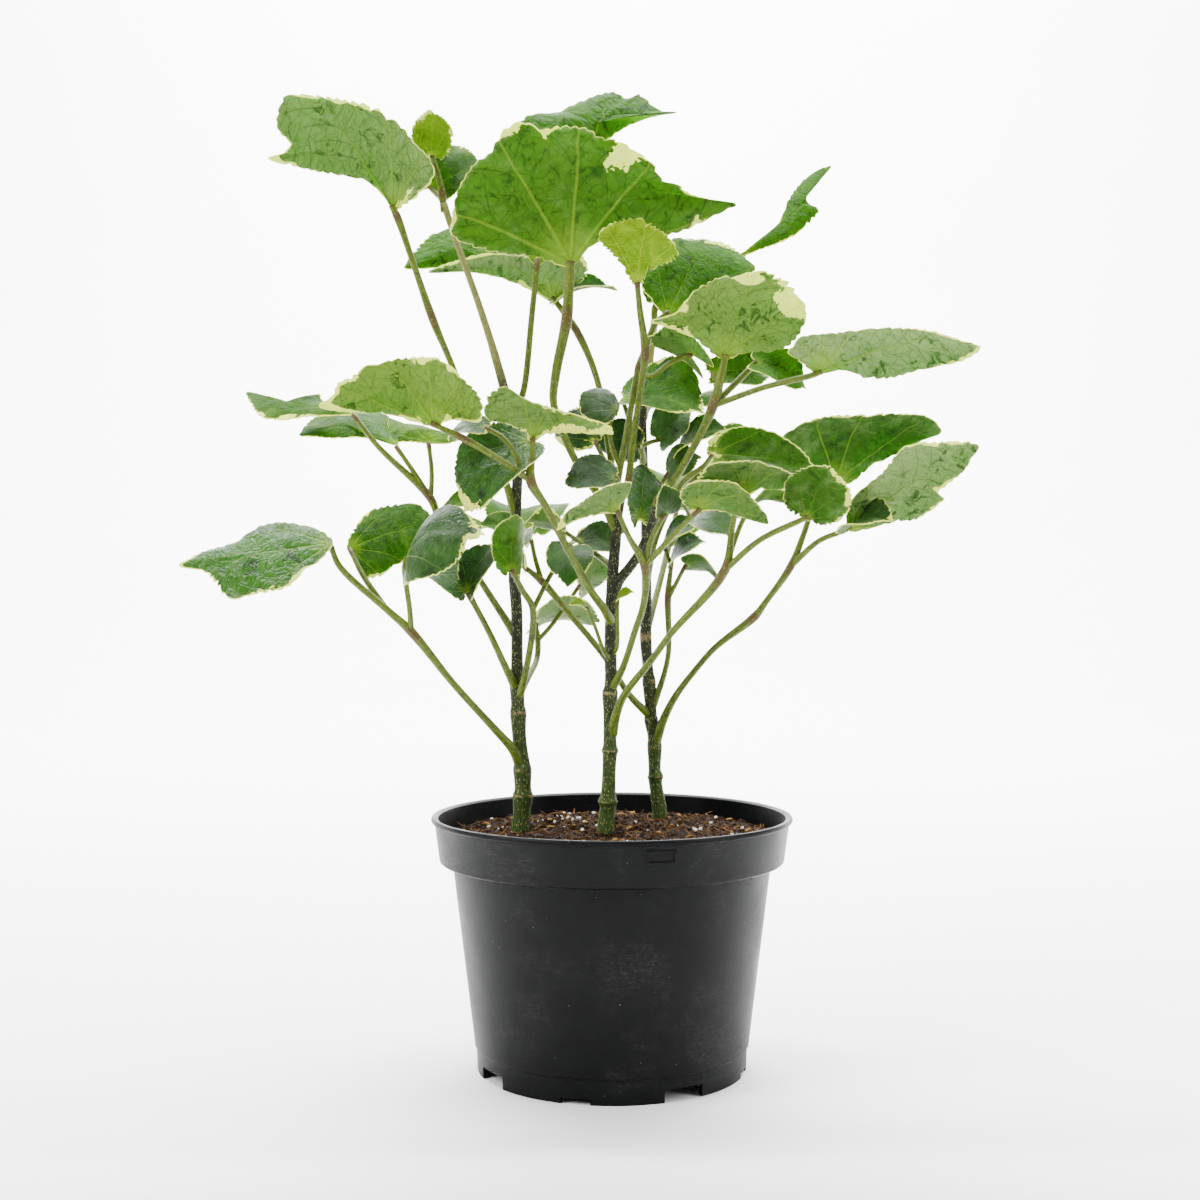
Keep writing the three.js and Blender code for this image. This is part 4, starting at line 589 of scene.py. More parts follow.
                [74.5, 383], [81.5, 398], [90, 407.5], [100.5, 412.5], [89.5, 398.5], [90.5, 394.5], [95, 392],
                [92.5, 387.5], [81.5, 378.5], [70, 374],
            ],
        ),
        dict(base=[25, 352.5, 54], tip=[32, 378, 84], facing=[0, -0.5, 0.8], wide=[16, 16]),
    ]),
    "leaf_right_rear": dict(tone="upper", stalks=[
        [[16, 200, 42, 2.2], [20, 214, 56, 1.7], [26, 238, 78, 1.6], [30, 256, 92, 1.1]],
        [[26, 238, 78, 1.4], [36, 246, 84, 1.1]],
    ], blades=[
        dict(base=[30, 255.5, 92], tip=[34, 270, 126], facing=[0, -0.3, 0.95], wide=[23, 23], matt=True),
        dict(base=[36, 245.5, 84], tip=[62, 250, 96], facing=[0, -0.3, 0.95], wide=[14, 14], matt=True),
    ]),
    "leaf_right_rear_high": dict(tone="upper", stalks=[
        [[14.2, 296, 42, 2], [17, 302, 54, 1.6], [26, 304, 70, 1.1]],
    ], blades=[
        dict(base=[25.5, 303.5, 70], tip=[44, 302, 100], facing=[0, -0.2, 1], wide=[20, 20], matt=True),
    ]),
    "leaf_right_side": dict(tone="upper", stalks=[
        [[15.6, 240, 42, 2], [26, 256, 50, 1.6], [44, 275, 54, 1.4], [50, 281, 54, 1]],
    ], blades=[
        dict(base=[49.5, 280.5, 54], tip=[74, 287, 66], facing=[0, -0.25, 1], wide=[15, 15], matt=True),
    ]),
    "bud_shoot_left": dict(tone="young", stalks=[
        [[-0.5, 186, -6, 1.2], [-3.6, 190, -12, 1], [-8, 202, -17, 0.9], [-12, 210.5, -18, 0.9]],
    ], blades=[
        dict(base=[-12, 210, -18], tip=[-20, 211.5, -20], facing=[0, -0.5, 0.9], wide=[4, 4]),
    ]),
    "bud_shoot_right": dict(tone="young", stalks=[
        [[0, 188, -6, 1.2], [2.4, 192, -11, 1], [2.6, 204, -14, 0.9], [2.6, 214, -14, 0.9]],
    ], blades=[
        dict(base=[2.6, 213.5, -14], tip=[10.5, 217, -17], facing=[0, -0.5, 0.9], wide=[4, 4]),
    ]),
}

# ---------------------------------------------------------------- places

def place(spot):
    """A place is across, up and depth, read on the upright plane through the pot's axis as seen from EYE."""
    across, up, depth = (list(spot) + [0.0])[:3]
    slide = 1 + depth / -EYE.y
    return Vector((EYE.x + (across - EYE.x) * slide, depth, EYE.z + (up - EYE.z) * slide))


def spline(points, steps, closed=False):
    """A smooth line through rows of numbers; the numbers after the first three are blended along with them."""
    rows = np.array(points, dtype=float)
    count = len(rows)
    spans = count if closed else count - 1
    line = []
    for i in range(spans):
        if closed:
            a, b, c, d = rows[i - 1], rows[i], rows[(i + 1) % count], rows[(i + 2) % count]
        else:
            b, c = rows[i], rows[i + 1]
            a = rows[i - 1] if i > 0 else 2 * b - c
            d = rows[i + 2] if i + 2 < count else 2 * c - b
        reach_a = max(np.linalg.norm((b - a)[:3]), 1e-6) ** 0.5
        reach_b = max(np.linalg.norm((c - b)[:3]), 1e-6) ** 0.5
        reach_c = max(np.linalg.norm((d - c)[:3]), 1e-6) ** 0.5
        lean_b = ((b - a) / reach_a - (c - a) / (reach_a + reach_b) + (c - b) / reach_b) * reach_b
        lean_c = ((c - b) / reach_b - (d - b) / (reach_b + reach_c) + (d - c) / reach_c) * reach_b
        for k in range(steps):
            t = k / steps
            line.append(
                b * (2 * t**3 - 3 * t**2 + 1) + lean_b * (t**3 - 2 * t**2 + t)
                + c * (3 * t**2 - 2 * t**3) + lean_c * (t**3 - t**2)
            )
    if not closed:
        line.append(rows[-1])
    return np.array(line)


# ---------------------------------------------------------------- meshes

class Sheet:
    """Points, faces and the numbers that go with them, gathered into one mesh."""

    def __init__(self):
        self.points = []
        self.faces = []
        self.finish = []
        self.marks = {}
        self.sharp = []

    def add(self, points, faces, finish, **marks):
        start = len(self.points)
        self.points.extend(points)
        self.faces.extend(tuple(start + i for i in face) for face in faces)
        self.finish.extend([finish] * len(faces))
        for name, values in marks.items():
            kept = self.marks.setdefault(name, [])
            kept.extend([0.0] * (start - len(kept)))
            kept.extend(values)
        return start

    def piece(self, name, materials):
        mesh = bpy.data.meshes.new(name)
        mesh.from_pydata([tuple(c * MM for c in point) for point in self.points], [], self.faces)
        for material in materials:
            mesh.materials.append(material)
        mesh.polygons.foreach_set("material_index", self.finish)
        mesh.polygons.foreach_set("use_smooth", [True] * len(self.faces))
        count = len(self.points)
        for mark, values in self.marks.items():
            values = np.array(values + [0.0] * (count - len(values)), dtype=float)
            self.marks[mark] = values
            if mark not in ("leaf_x", "leaf_y"):
                mesh.attributes.new(mark, "FLOAT", "POINT").data.foreach_set("value", values)
        if "leaf_x" in self.marks:
            corners = np.zeros(len(mesh.loops), dtype=np.int32)
            mesh.loops.foreach_get("vertex_index", corners)
            flat = np.stack([self.marks["leaf_x"][corners], self.marks["leaf_y"][corners]], axis=1)
            mesh.uv_layers.new(name="leaf").data.foreach_set("uv", flat.ravel())
        mesh.validate()
        keys = {tuple(sorted(pair)) for pair in self.sharp}
        if keys:
            for edge in mesh.edges:
                if tuple(sorted(edge.vertices)) in keys:
                    edge.use_edge_sharp = True
        mesh.update()
        return stand(name, mesh)


def add_tube(sheet, rows, finish, sides, steps, ridge=None, swell=0.0, groove=0.0):
    """A round stalk along rows of across, up, depth and radius, with its brown joints marked."""
    places = [list(place(row)) + [row[3]] for row in rows]
    line = spline(places, steps)
    joints = np.zeros(len(line))
    for i in range(1, len(rows) - 1):
        if rows[i][3] > rows[i - 1][3] + 0.05 and rows[i][3] > rows[i + 1][3] + 0.05:
            joints += np.exp(-(((np.arange(len(line)) - i * steps) / (0.3 * steps)) ** 2))
    joints[-2:] = 1
    middle = line[:, :3]
    radius = line[:, 3] * (1 + swell * joints)
    lean = np.gradient(middle, axis=0)
    lean /= np.linalg.norm(lean, axis=1)[:, None]
    side = Vector(lean[0]).cross(Vector((0.3, 1, 0.2))).normalized()
    travelled = np.concatenate([[0], np.cumsum(np.linalg.norm(np.diff(middle, axis=0), axis=1))])
    points, faces, along, around, brown = [], [], [], [], []
    for i, centre in enumerate(middle):
        forward = Vector(lean[i])
        side = (side - forward * side.dot(forward)).normalized()
        across = forward.cross(side)
        for k in range(sides):
            turn = 2 * math.pi * k / sides
            reach = radius[i] * (1 + (ridge(travelled[i], turn) if ridge else 0.0))
            reach *= 1 - groove * max(0.0, math.cos(turn)) ** 6
            points.append(Vector(centre) + (side * math.cos(turn) + across * math.sin(turn)) * reach)
            along.append(travelled[i])
            around.append(turn)
            brown.append(min(joints[i], 1.0))
        if i:
            for k in range(sides):
                a, b = (i - 1) * sides + k, (i - 1) * sides + (k + 1) % sides
                faces.append((a, b, b + sides, a + sides))
    last = len(points)
    for centre in (0, len(middle) - 1):
        points.append(Vector(middle[centre]))
        along.append(travelled[centre])
        around.append(0.0)
        brown.append(min(joints[centre], 1.0))
    end = (len(middle) - 1) * sides
    for k in range(sides):
        faces.append((last, (k + 1) % sides, k))
        faces.append((last + 1, end + k, end + (k + 1) % sides))
    sheet.add(points, faces, finish, along=along, around=around, brown=brown)


def stand(name, data):
    """A new object in the scene."""
    thing = bpy.data.objects.new(name, data)
    bpy.context.scene.collection.objects.link(thing)
    return thing


def facing_out(thing):
    """Merges doubles and turns every face outwards."""
    shape = bmesh.new()
    shape.from_mesh(thing.data)
    bmesh.ops.remove_doubles(shape, verts=shape.verts, dist=1e-6)
    bmesh.ops.recalc_face_normals(shape, faces=shape.faces)
    shape.to_mesh(thing.data)
    shape.free()


# ---------------------------------------------------------------- blades

def plain_margin(share, lobes):
    """A heart-based round margin: its stalk joins it at (0, 0), its tip is at (0, 1)."""
    angle = (2 * share - 1) * TURN_OF_MARGIN
    heart = lobes * math.exp(-(((abs(angle) - 2.45) / 0.5) ** 2))
    tip = POINT * math.exp(-((angle / 0.32) ** 2))
    return (
        math.sin(angle) * (1 - 0.5 * tip),
        ((0.47 + 0.5 * math.cos(angle)) - heart + tip * 0.12) / (0.97 + POINT * 0.12),
    )


def plain_shape(blade, _):
    """A blade about a midrib: its outline and middle, ways to a place and a leaf place, its up and its length."""
    foot = place(blade["base"])
    midrib = place(blade["tip"]) - foot
    length = midrib.length
    midrib.normalize()
    up = Vector(blade["facing"]).normalized()
    up = (up - midrib * up.dot(midrib)).normalized()
    right = midrib.cross(up)
    left_reach, right_reach = blade["wide"]
    arch, cup = blade.get("arch", 0.15), blade.get("cup", 0.12)
    outline = [plain_margin(i / 60, blade.get("lobes", 0.16)) for i in range(61)] + [(0.0, -0.03)]

    def spot(x, y):
        reach = left_reach if x < 0 else right_reach
        ruffle = WAVE * length * (x * x + y * y) * math.sin(4 * math.atan2(x, y - 0.2))
        lift = length * (cup * x * x + arch * 4 * y * (1 - y)) + ruffle
        return foot + right * (x * reach) + midrib * (y * length) + up * lift

    def flat(x, y):
        return ((left_reach if x < 0 else right_reach) * x / length, y)

    return outline, (0.0, 0.45), spot, flat, up, length


def edged_shape(blade, rng):
    """A blade inside a given margin: as plain_shape, but with a way to its lift instead of to a leaf place."""
    foot = place(blade["base"])
    up = Vector(blade["facing"]).normalized()
    margin = []
    for spot in blade["edge"]:
        sight = place(spot) - EYE
        margin.append(EYE + sight * ((foot - EYE).dot(up) / sight.dot(up)))
    middle = sum(margin, Vector()) / len(margin)
    axis = (middle - foot).normalized()
    right = axis.cross(up)
    length = 2 * max((point - middle).length for point in margin)
    stem = foot - axis * STEM
    outline = [((p - foot).dot(right) / length, (p - foot).dot(axis) / length) for p in margin + [stem]]
    centre = (0.0, (middle - foot).length / length)
    far = max(math.hypot(x - centre[0], y - centre[1]) for x, y in outline)
    dome = blade.get("dome", 0.1)
    turn = rng.uniform(0, 6.28)

    def spot(x, y):
        part = min(math.hypot(x - centre[0], y - centre[1]) / far, 1.0)
        around = math.atan2(x - centre[0], y - centre[1])
        ruffle = 0.016 * part**2 * (math.sin(3 * around + turn) + 0.55 * math.sin(7 * around + 2 * turn))
        ruffle += 0.006 * part**3 * math.sin(13 * around + 3 * turn)
        return foot + right * (x * length) + axis * (y * length) + up * length * ruffle

    def lift(part):
        return up * (dome * length * (1 - part * part))

    return outline, centre, spot, lift, up, length


def tooth(phase, size):
    """How far the margin draws in at a place along a tooth, which leans forward to its point."""
    phase %= 1.0
    return size * (1 - (phase / 0.72) ** 0.7 if phase < 0.72 else ((phase - 0.72) / 0.28) ** 1.4)


def vein_rise(x, y):
    """Main veins fan out from the stalk: 1 on a vein, 0 halfway to the next."""
    reach = math.hypot(x, y)
    share = math.atan2(x, y) / VEIN_SPREAD
    off = abs(share - round(share))
    return max(0.0, 1 - off * 2) ** 2 * min(1.0, reach * 4) * (1 - 0.4 * reach)


def add_blade(sheet, blade, young, rng):
    """One thin toothed blade: upper side, underside and the rim between them."""
    edged = "edge" in blade
    outline, centre, spot, second, up, length = (edged_shape if edged else plain_shape)(blade, rng)
    around = spline([(x, y, 0.0) for x, y in outline], 8, closed=True)[:, :2]
    solid_rim = np.array([spot(x, y) for x, y in around])
    gaps = np.linalg.norm(np.diff(np.vstack([solid_rim, solid_rim[:1]]), axis=0), axis=1)
    travelled = np.concatenate([[0], np.cumsum(gaps)])
    girth = travelled[-1]
    closeness = 0.62 if length < SMALL_BLADE else 0.8 if length < MIDDLING_BLADE else 1.0
    pitch = TOOTH_PITCH * closeness * (0.75 if young else 1.0)
    tooth_size = (TOOTH_YOUNG if young else TOOTH_EDGED if edged else TOOTH_PLAIN)
    teeth = max(14, round(girth / pitch))
    count = teeth * STEPS_TO_A_TOOTH
    closed = np.vstack([around, around[:1]])
    stops = np.linspace(0, girth, count, endpoint=False)
    rim = np.stack([np.interp(stops, travelled, closed[:, i]) for i in (0, 1)], axis=1)
    big_teeth = 0.1 if edged else 0.25
    sizes = [rng.uniform(0.45, 1.2) * (2.0 if rng.random() < big_teeth else 1.0) for _ in range(teeth + 1)]
    rings = RINGS_OF_SMALL if length < SMALL_BLADE else RINGS
    places = []
    marks = {name: [] for name in ("leaf_x", "leaf_y", "rim", "cream", "band", "tint", "vivid", "shade")}
    patches = [(place(p[:2]), p[2], p[3]) for p in blade.get("patches", [])]
    tint = rng.random()
    drift = rng.uniform(0, 6.28)
    vivid = blade.get("vivid", rng.uniform(0.0, 0.4))
    # Paleness runs from dark to pale grey-green; its low values are partly painted shade.
    shade = blade.get("shade", rng.uniform(0.1, 0.7))
    mean_cream = rng.choice([0.3, 0.6, 1.2, 2.2])
    for part in rings[1:]:
        for k in range(count):
            x = centre[0] + (rim[k][0] - centre[0]) * part
            y = centre[1] + (rim[k][1] - centre[1]) * part
            near_stem = math.exp(-((math.hypot(rim[k][0], rim[k][1]) / 0.06) ** 2))
            phase = (k * teeth / count + 0.6 * math.sin(5 * 2 * math.pi * k / count + drift)) % teeth
            bite = tooth(phase, tooth_size * sizes[int(phase)] * pitch / TOOTH_PITCH) * (1 - near_stem)
            bite *= part**14
            span = Vector((rim[k][0] - centre[0], rim[k][1] - centre[1]))
            draw = bite / max(span.length * length, 1e-6)
            x -= span.x * draw
            y -= span.y * draw
            here = spot(x, y)
            if edged:
                here = here + second(part)
                flat = (x, y)
            else:
                flat = second(x, y)
            rumple = noise.noise(here * 0.055 + Vector((tint * 90, 0, 0))) + 0.4 * noise.noise(here * 0.15)
            here = here + up * (0.011 * length * rumple * min(1.0, 3 * part) * (1 - 0.3 * part))
            pucker = 0.017 * length * vein_rise(*flat) * math.sin(math.pi * part) - 0.004 * length
            here = here - up * pucker
            places.append(here)
            marks["leaf_x"].append(flat[0])
            marks["leaf_y"].append(flat[1])
            marks["rim"].append((1 - part) * span.length * length)
            marks["cream"].append(mean_cream * (0.9 + 0.7 * math.sin(2 * math.pi * k / count * 3 + drift)))
            seen = here - EYE
            seen = EYE + seen * (-EYE.y / seen.y)
            marks["band"].append(sum(
                amount * math.exp(-(((seen - spot_at).length / size) ** 2)) for spot_at, size, amount in patches
            ))
            marks["tint"].append(tint)
            marks["vivid"].append(vivid)
            marks["shade"].append(shade)
    hub = spot(*centre) + (second(0.0) if edged else Vector())
    hub_flat = centre if edged else second(*centre)
    places.append(hub)
    for name, value in (
        ("leaf_x", hub_flat[0]), ("leaf_y", hub_flat[1]), ("rim", FAR_FROM_RIM), ("cream", mean_cream), ("band", 0.0),
        ("tint", tint), ("vivid", vivid), ("shade", shade),
    ):
        marks[name].append(value)
    hub_index = len(places) - 1
    half = up * (BLADE_THICKNESS / 2)
    top = [point + half for point in places]
    bottom = [point - half for point in places]
    layers = len(rings) - 1
    # Faces that look up where the margin runs anticlockwise, seen from the upper side.
    faces = [(hub_index, k, (k + 1) % count) for k in range(count)]
    for layer in range(1, layers):
        low, high = (layer - 1) * count, layer * count
        for k in range(count):
            n = (k + 1) % count
            faces.append((low + k, high + k, high + n, low + n))
    total = len(places)
    edge = (layers - 1) * count
    rim_faces = []
    for k in range(count):
        n = (k + 1) % count
        rim_faces.append((total + edge + k, total + edge + n, edge + n, edge + k))
    turning = sum(
        (places[edge + k] - hub).cross(places[edge + (k + 1) % count] - hub).dot(up) for k in range(count)
    )
    if turning < 0:
        faces = [face[::-1] for face in faces]
        rim_faces = [face[::-1] for face in rim_faces]
    lower_faces = [tuple(total + i for i in face[::-1]) for face in faces]
    doubled = {name: values * 2 for name, values in marks.items()}
    # A matt blade takes the lit finish on both sides: matt, with its tones painted darker against the light on it.
    upper, lower = (YOUNG, YOUNG) if young else (LIT, LIT) if blade.get("matt") else (UPPER, UNDER)
    start = sheet.add(top + bottom, faces, upper, **doubled)
    for face in lower_faces + rim_faces:
        sheet.faces.append(tuple(start + i for i in face))
        sheet.finish.append(lower)
    for k in range(count):
        n = (k + 1) % count
        sheet.sharp.append((start + edge + k, start + edge + n))
        sheet.sharp.append((start + total + edge + k, start + total + edge + n))

# ---------------------------------------------------------------- finishes

class Graph:
    """Adds nodes to a tree and joins them."""

    def __init__(self, tree):
        self.tree = tree

    def feed(self, sockets, values):
        """Links each named socket to its value, or sets it where the value is a constant."""
        for key, value in values.items():
            if isinstance(value, bpy.types.NodeSocket):
                self.tree.links.new(value, sockets[key])
            else:
                sockets[key].default_value = value

    def node(self, kind, inputs=None, **settings):
        node = self.tree.nodes.new(kind)
        for key, value in settings.items():
            setattr(node, key, value)
        self.feed(node.inputs, inputs or {})
        return node

    def math(self, operation, a, b=0.0, c=0.0):
        return self.node("ShaderNodeMath", {0: a, 1: b, 2: c}, operation=operation).outputs[0]

    def plus(self, a, b):
        return self.math("ADD", a, b)

    def minus(self, a, b):
        return self.math("SUBTRACT", a, b)

    def times(self, a, b):
        return self.math("MULTIPLY", a, b)

    def span(self, value, low, high, to_low=0.0, to_high=1.0):
        return self.node(
            "ShaderNodeMapRange",
            {"Value": value, "From Min": low, "From Max": high, "To Min": to_low, "To Max": to_high},
            interpolation_type="SMOOTHSTEP",
        ).outputs[0]

    def mix(self, factor, a, b):
        return self.node("ShaderNodeMix", {0: factor, 6: a, 7: b}, data_type="RGBA").outputs[2]

    def noise(self, vector, scale, detail=2.0, roughness=0.5, distortion=0.0):
        return self.node(
            "ShaderNodeTexNoise",
            {"Vector": vector, "Scale": scale, "Detail": detail, "Roughness": roughness, "Distortion": distortion},
        ).outputs["Fac"]

    def cells(self, vector, scale, feature="F1"):
        return self.node("ShaderNodeTexVoronoi", {"Vector": vector, "Scale": scale}, feature=feature)

    def mark(self, name):
        return self.node("ShaderNodeAttribute", attribute_name=name).outputs["Fac"]

    def place(self):
        return self.node("ShaderNodeTexCoord").outputs["Object"]

    def scaled(self, vector, by):
        return self.node("ShaderNodeVectorMath", {0: vector, 1: by}, operation="MULTIPLY").outputs[0]

    def moved(self, vector, by):
        return self.node("ShaderNodeVectorMath", {0: vector, 1: by}, operation="ADD").outputs[0]

    def length(self, x, y):
        return self.math("SQRT", self.plus(self.times(x, x), self.times(y, y)))

    def joined(self, x=0.0, y=0.0, z=0.0):
        return self.node("ShaderNodeCombineXYZ", {"X": x, "Y": y, "Z": z}).outputs[0]

    def bump(self, height, strength, distance, normal=None):
        inputs = {"Height": height, "Strength": strength, "Distance": distance}
        if normal is not None:
            inputs["Normal"] = normal
        return self.node("ShaderNodeBump", inputs).outputs[0]

    def use(self, group, **inputs):
        return self.node("ShaderNodeGroup", inputs, node_tree=group).outputs


def add_input(tree, label, kind, value):
    """An input socket of a node group, by the name that a modifier knows it by."""
    made = tree.interface.new_socket(label, in_out="INPUT", socket_type=kind)
    if value is not None:
        made.default_value = value
    return made.identifier


def effect(name, inputs, outputs):
    """A shader node group: its graph, its input sockets and a function that ends it."""
    tree = bpy.data.node_groups.new(name, "ShaderNodeTree")
    for label, kind, value in inputs:
        add_input(tree, label, kind, value)
    for label, kind in outputs:
        tree.interface.new_socket(label, in_out="OUTPUT", socket_type=kind)
    graph = Graph(tree)
    given = tree.nodes.new("NodeGroupInput").outputs
    end = tree.nodes.new("NodeGroupOutput")

    def finish(**values):
        graph.feed(end.inputs, values)
        return tree

    return graph, given, finish


FLOAT, VECTOR = "NodeSocketFloat", "NodeSocketVector"


def vein_effect():
    """Main veins that fan out from the stalk, side veins that leave them, and a fine net between."""
    g, given, finish = effect(
        "leaf veins",
        [("Place", VECTOR, None), ("Spread", FLOAT, VEIN_SPREAD), ("Seed", FLOAT, 0.0)],
        [("Main", FLOAT), ("Side", FLOAT), ("Net", FLOAT), ("Cell", FLOAT)],
    )
    split = g.node("ShaderNodeSeparateXYZ", {0: given["Place"]}).outputs
    seeded = g.moved(given["Place"], g.joined(z=given["Seed"]))
    wander = g.minus(g.noise(seeded, 3.0, 3.0), 0.5)
    reach = g.length(split[0], split[1])
    angle = g.math("ARCTAN2", split[0], split[1])
    angle = g.plus(angle, g.times(g.times(wander, reach), 0.55))
    share = g.math("DIVIDE", angle, given["Spread"])
    off = g.minus(share, g.math("ROUND", share))
    away = g.times(g.times(g.math("ABSOLUTE", off), given["Spread"]), reach)
    width = g.math("MULTIPLY_ADD", reach, -0.0085, 0.0095)
    width = g.math("MAXIMUM", width, 0.0016)
    main = g.minus(1.0, g.span(g.math("DIVIDE", away, width), 0.25, 1.0))
    # Side veins leave a main vein at a slant and curve towards the margin.
    slant = g.math("MULTIPLY_ADD", g.math("POWER", g.math("ABSOLUTE", off), 0.8), -2.4, g.times(reach, 8.5))
    slant = g.plus(slant, g.times(g.math("SIGN", off), 0.24))
    slant = g.plus(slant, g.times(wander, 1.6))
    near = g.math("ABSOLUTE", g.minus(g.math("FRACT", slant), 0.5))
    side = g.minus(1.0, g.span(near, 0.012, 0.045))
    side = g.times(side, g.span(reach, 0.12, 0.3))
    warped = g.moved(seeded, g.joined(wander, g.times(wander, -0.7)))
    net = g.cells(warped, 16.0, feature="DISTANCE_TO_EDGE").outputs["Distance"]
    fine = g.cells(warped, 44.0, feature="DISTANCE_TO_EDGE").outputs["Distance"]
    coarse = g.minus(1.0, g.span(net, 0.015, 0.07))
    fine = g.minus(1.0, g.span(fine, 0.02, 0.12))
    mesh = g.math("MAXIMUM", coarse, g.times(fine, 0.45))
    cell = g.span(net, 0.0, 0.35)
    return finish(Main=main, Side=side, Net=mesh, Cell=cell)


def cream_effect():
    """The cream margin: a thin broken line, a band whose inner side breaks up along the veins, and placed patches."""
    g, given, finish = effect(
        "cream margin",
        [
            ("Place", VECTOR, None), ("Rim", FLOAT, 0.0), ("Width", FLOAT, 1.0), ("Band", FLOAT, 0.0),
            ("Seed", FLOAT, 0.0),
        ],
        [("Cream", FLOAT), ("Pale", FLOAT)],
    )
    split = g.node("ShaderNodeSeparateXYZ", {0: given["Place"]}).outputs
    angle = g.math("ARCTAN2", split[0], g.plus(split[1], 0.04))
    reach = g.length(split[0], split[1])
    flat = g.joined(split[0], split[1], given["Seed"])
    streaks = g.noise(g.joined(g.times(angle, 4.2), g.times(reach, 2.6), given["Seed"]), 1.5, 2.6, 0.5)
    blots = g.noise(flat, 9.0, 4.0, 0.65)
    bays = g.noise(flat, 5.5, 3.0, 0.6, 0.6)
    reachable = g.times(given["Width"], g.math("MULTIPLY_ADD", streaks, 2.6, -0.7))
    reachable = g.times(reachable, g.span(bays, 0.36, 0.6, 0.12, 1.7))
    line = g.span(blots, 0.4, 0.55, 0.0, 0.42)
    reachable = g.math("MAXIMUM", reachable, line)
    reachable = g.math("MAXIMUM", reachable, g.times(given["Band"], g.span(blots, 0.4, 0.6, 0.25, 1.3)))
    left = g.minus(reachable, given["Rim"])
    cream = g.span(left, -0.06, 0.14)
    pale = g.times(g.span(left, -2.8, 0.2), g.span(blots, 0.44, 0.56))
    return finish(Cream=cream, Pale=pale)


def mottle_effect():
    """Soft lighter and darker blots with a few small specks, in millimetres."""
    g, given, finish = effect(
        "mottling",
        [("Place", VECTOR, None), ("Size", FLOAT, 90.0), ("Seed", FLOAT, 0.0)],
        [("Light", FLOAT), ("Dark", FLOAT), ("Specks", FLOAT)],
    )
    seeded = g.moved(given["Place"], g.joined(z=given["Seed"]))
    broad = g.noise(seeded, given["Size"], 4.0, 0.6, 0.4)
    close = g.noise(seeded, g.times(given["Size"], 2.4), 6.0, 0.72, 1.0)
    light = g.span(broad, 0.5, 0.72)
    dark = g.times(g.span(close, 0.53, 0.6), g.span(broad, 0.6, 0.42))
    dots = g.cells(seeded, g.times(given["Size"], 5.0)).outputs["Distance"]
    specks = g.times(g.minus(1.0, g.span(dots, 0.05, 0.16)), g.span(close, 0.5, 0.6))
    return finish(Light=light, Dark=dark, Specks=specks)


VEINS, CREAM, MOTTLE = vein_effect(), cream_effect(), mottle_effect()


def colour(red, green, blue):
    """A linear colour from screen values of 0 to 255."""
    parts = [c / 255 for c in (red, green, blue)]
    return tuple(c / 12.92 if c <= 0.04045 else ((c + 0.055) / 1.055) ** 2.4 for c in parts) + (1.0,)


def material(name):
    """A new node material with its graph and its shader."""
    made = bpy.data.materials.new(name)
    made.use_nodes = True
    graph = Graph(made.node_tree)
    return made, graph, made.node_tree.nodes["Principled BSDF"]


def finish_with(graph, shader, **sockets):
    """Feeds the sockets of a shader; an underscore stands for a space."""
    graph.feed(shader.inputs, {label.replace("_", " "): value for label, value in sockets.items()})


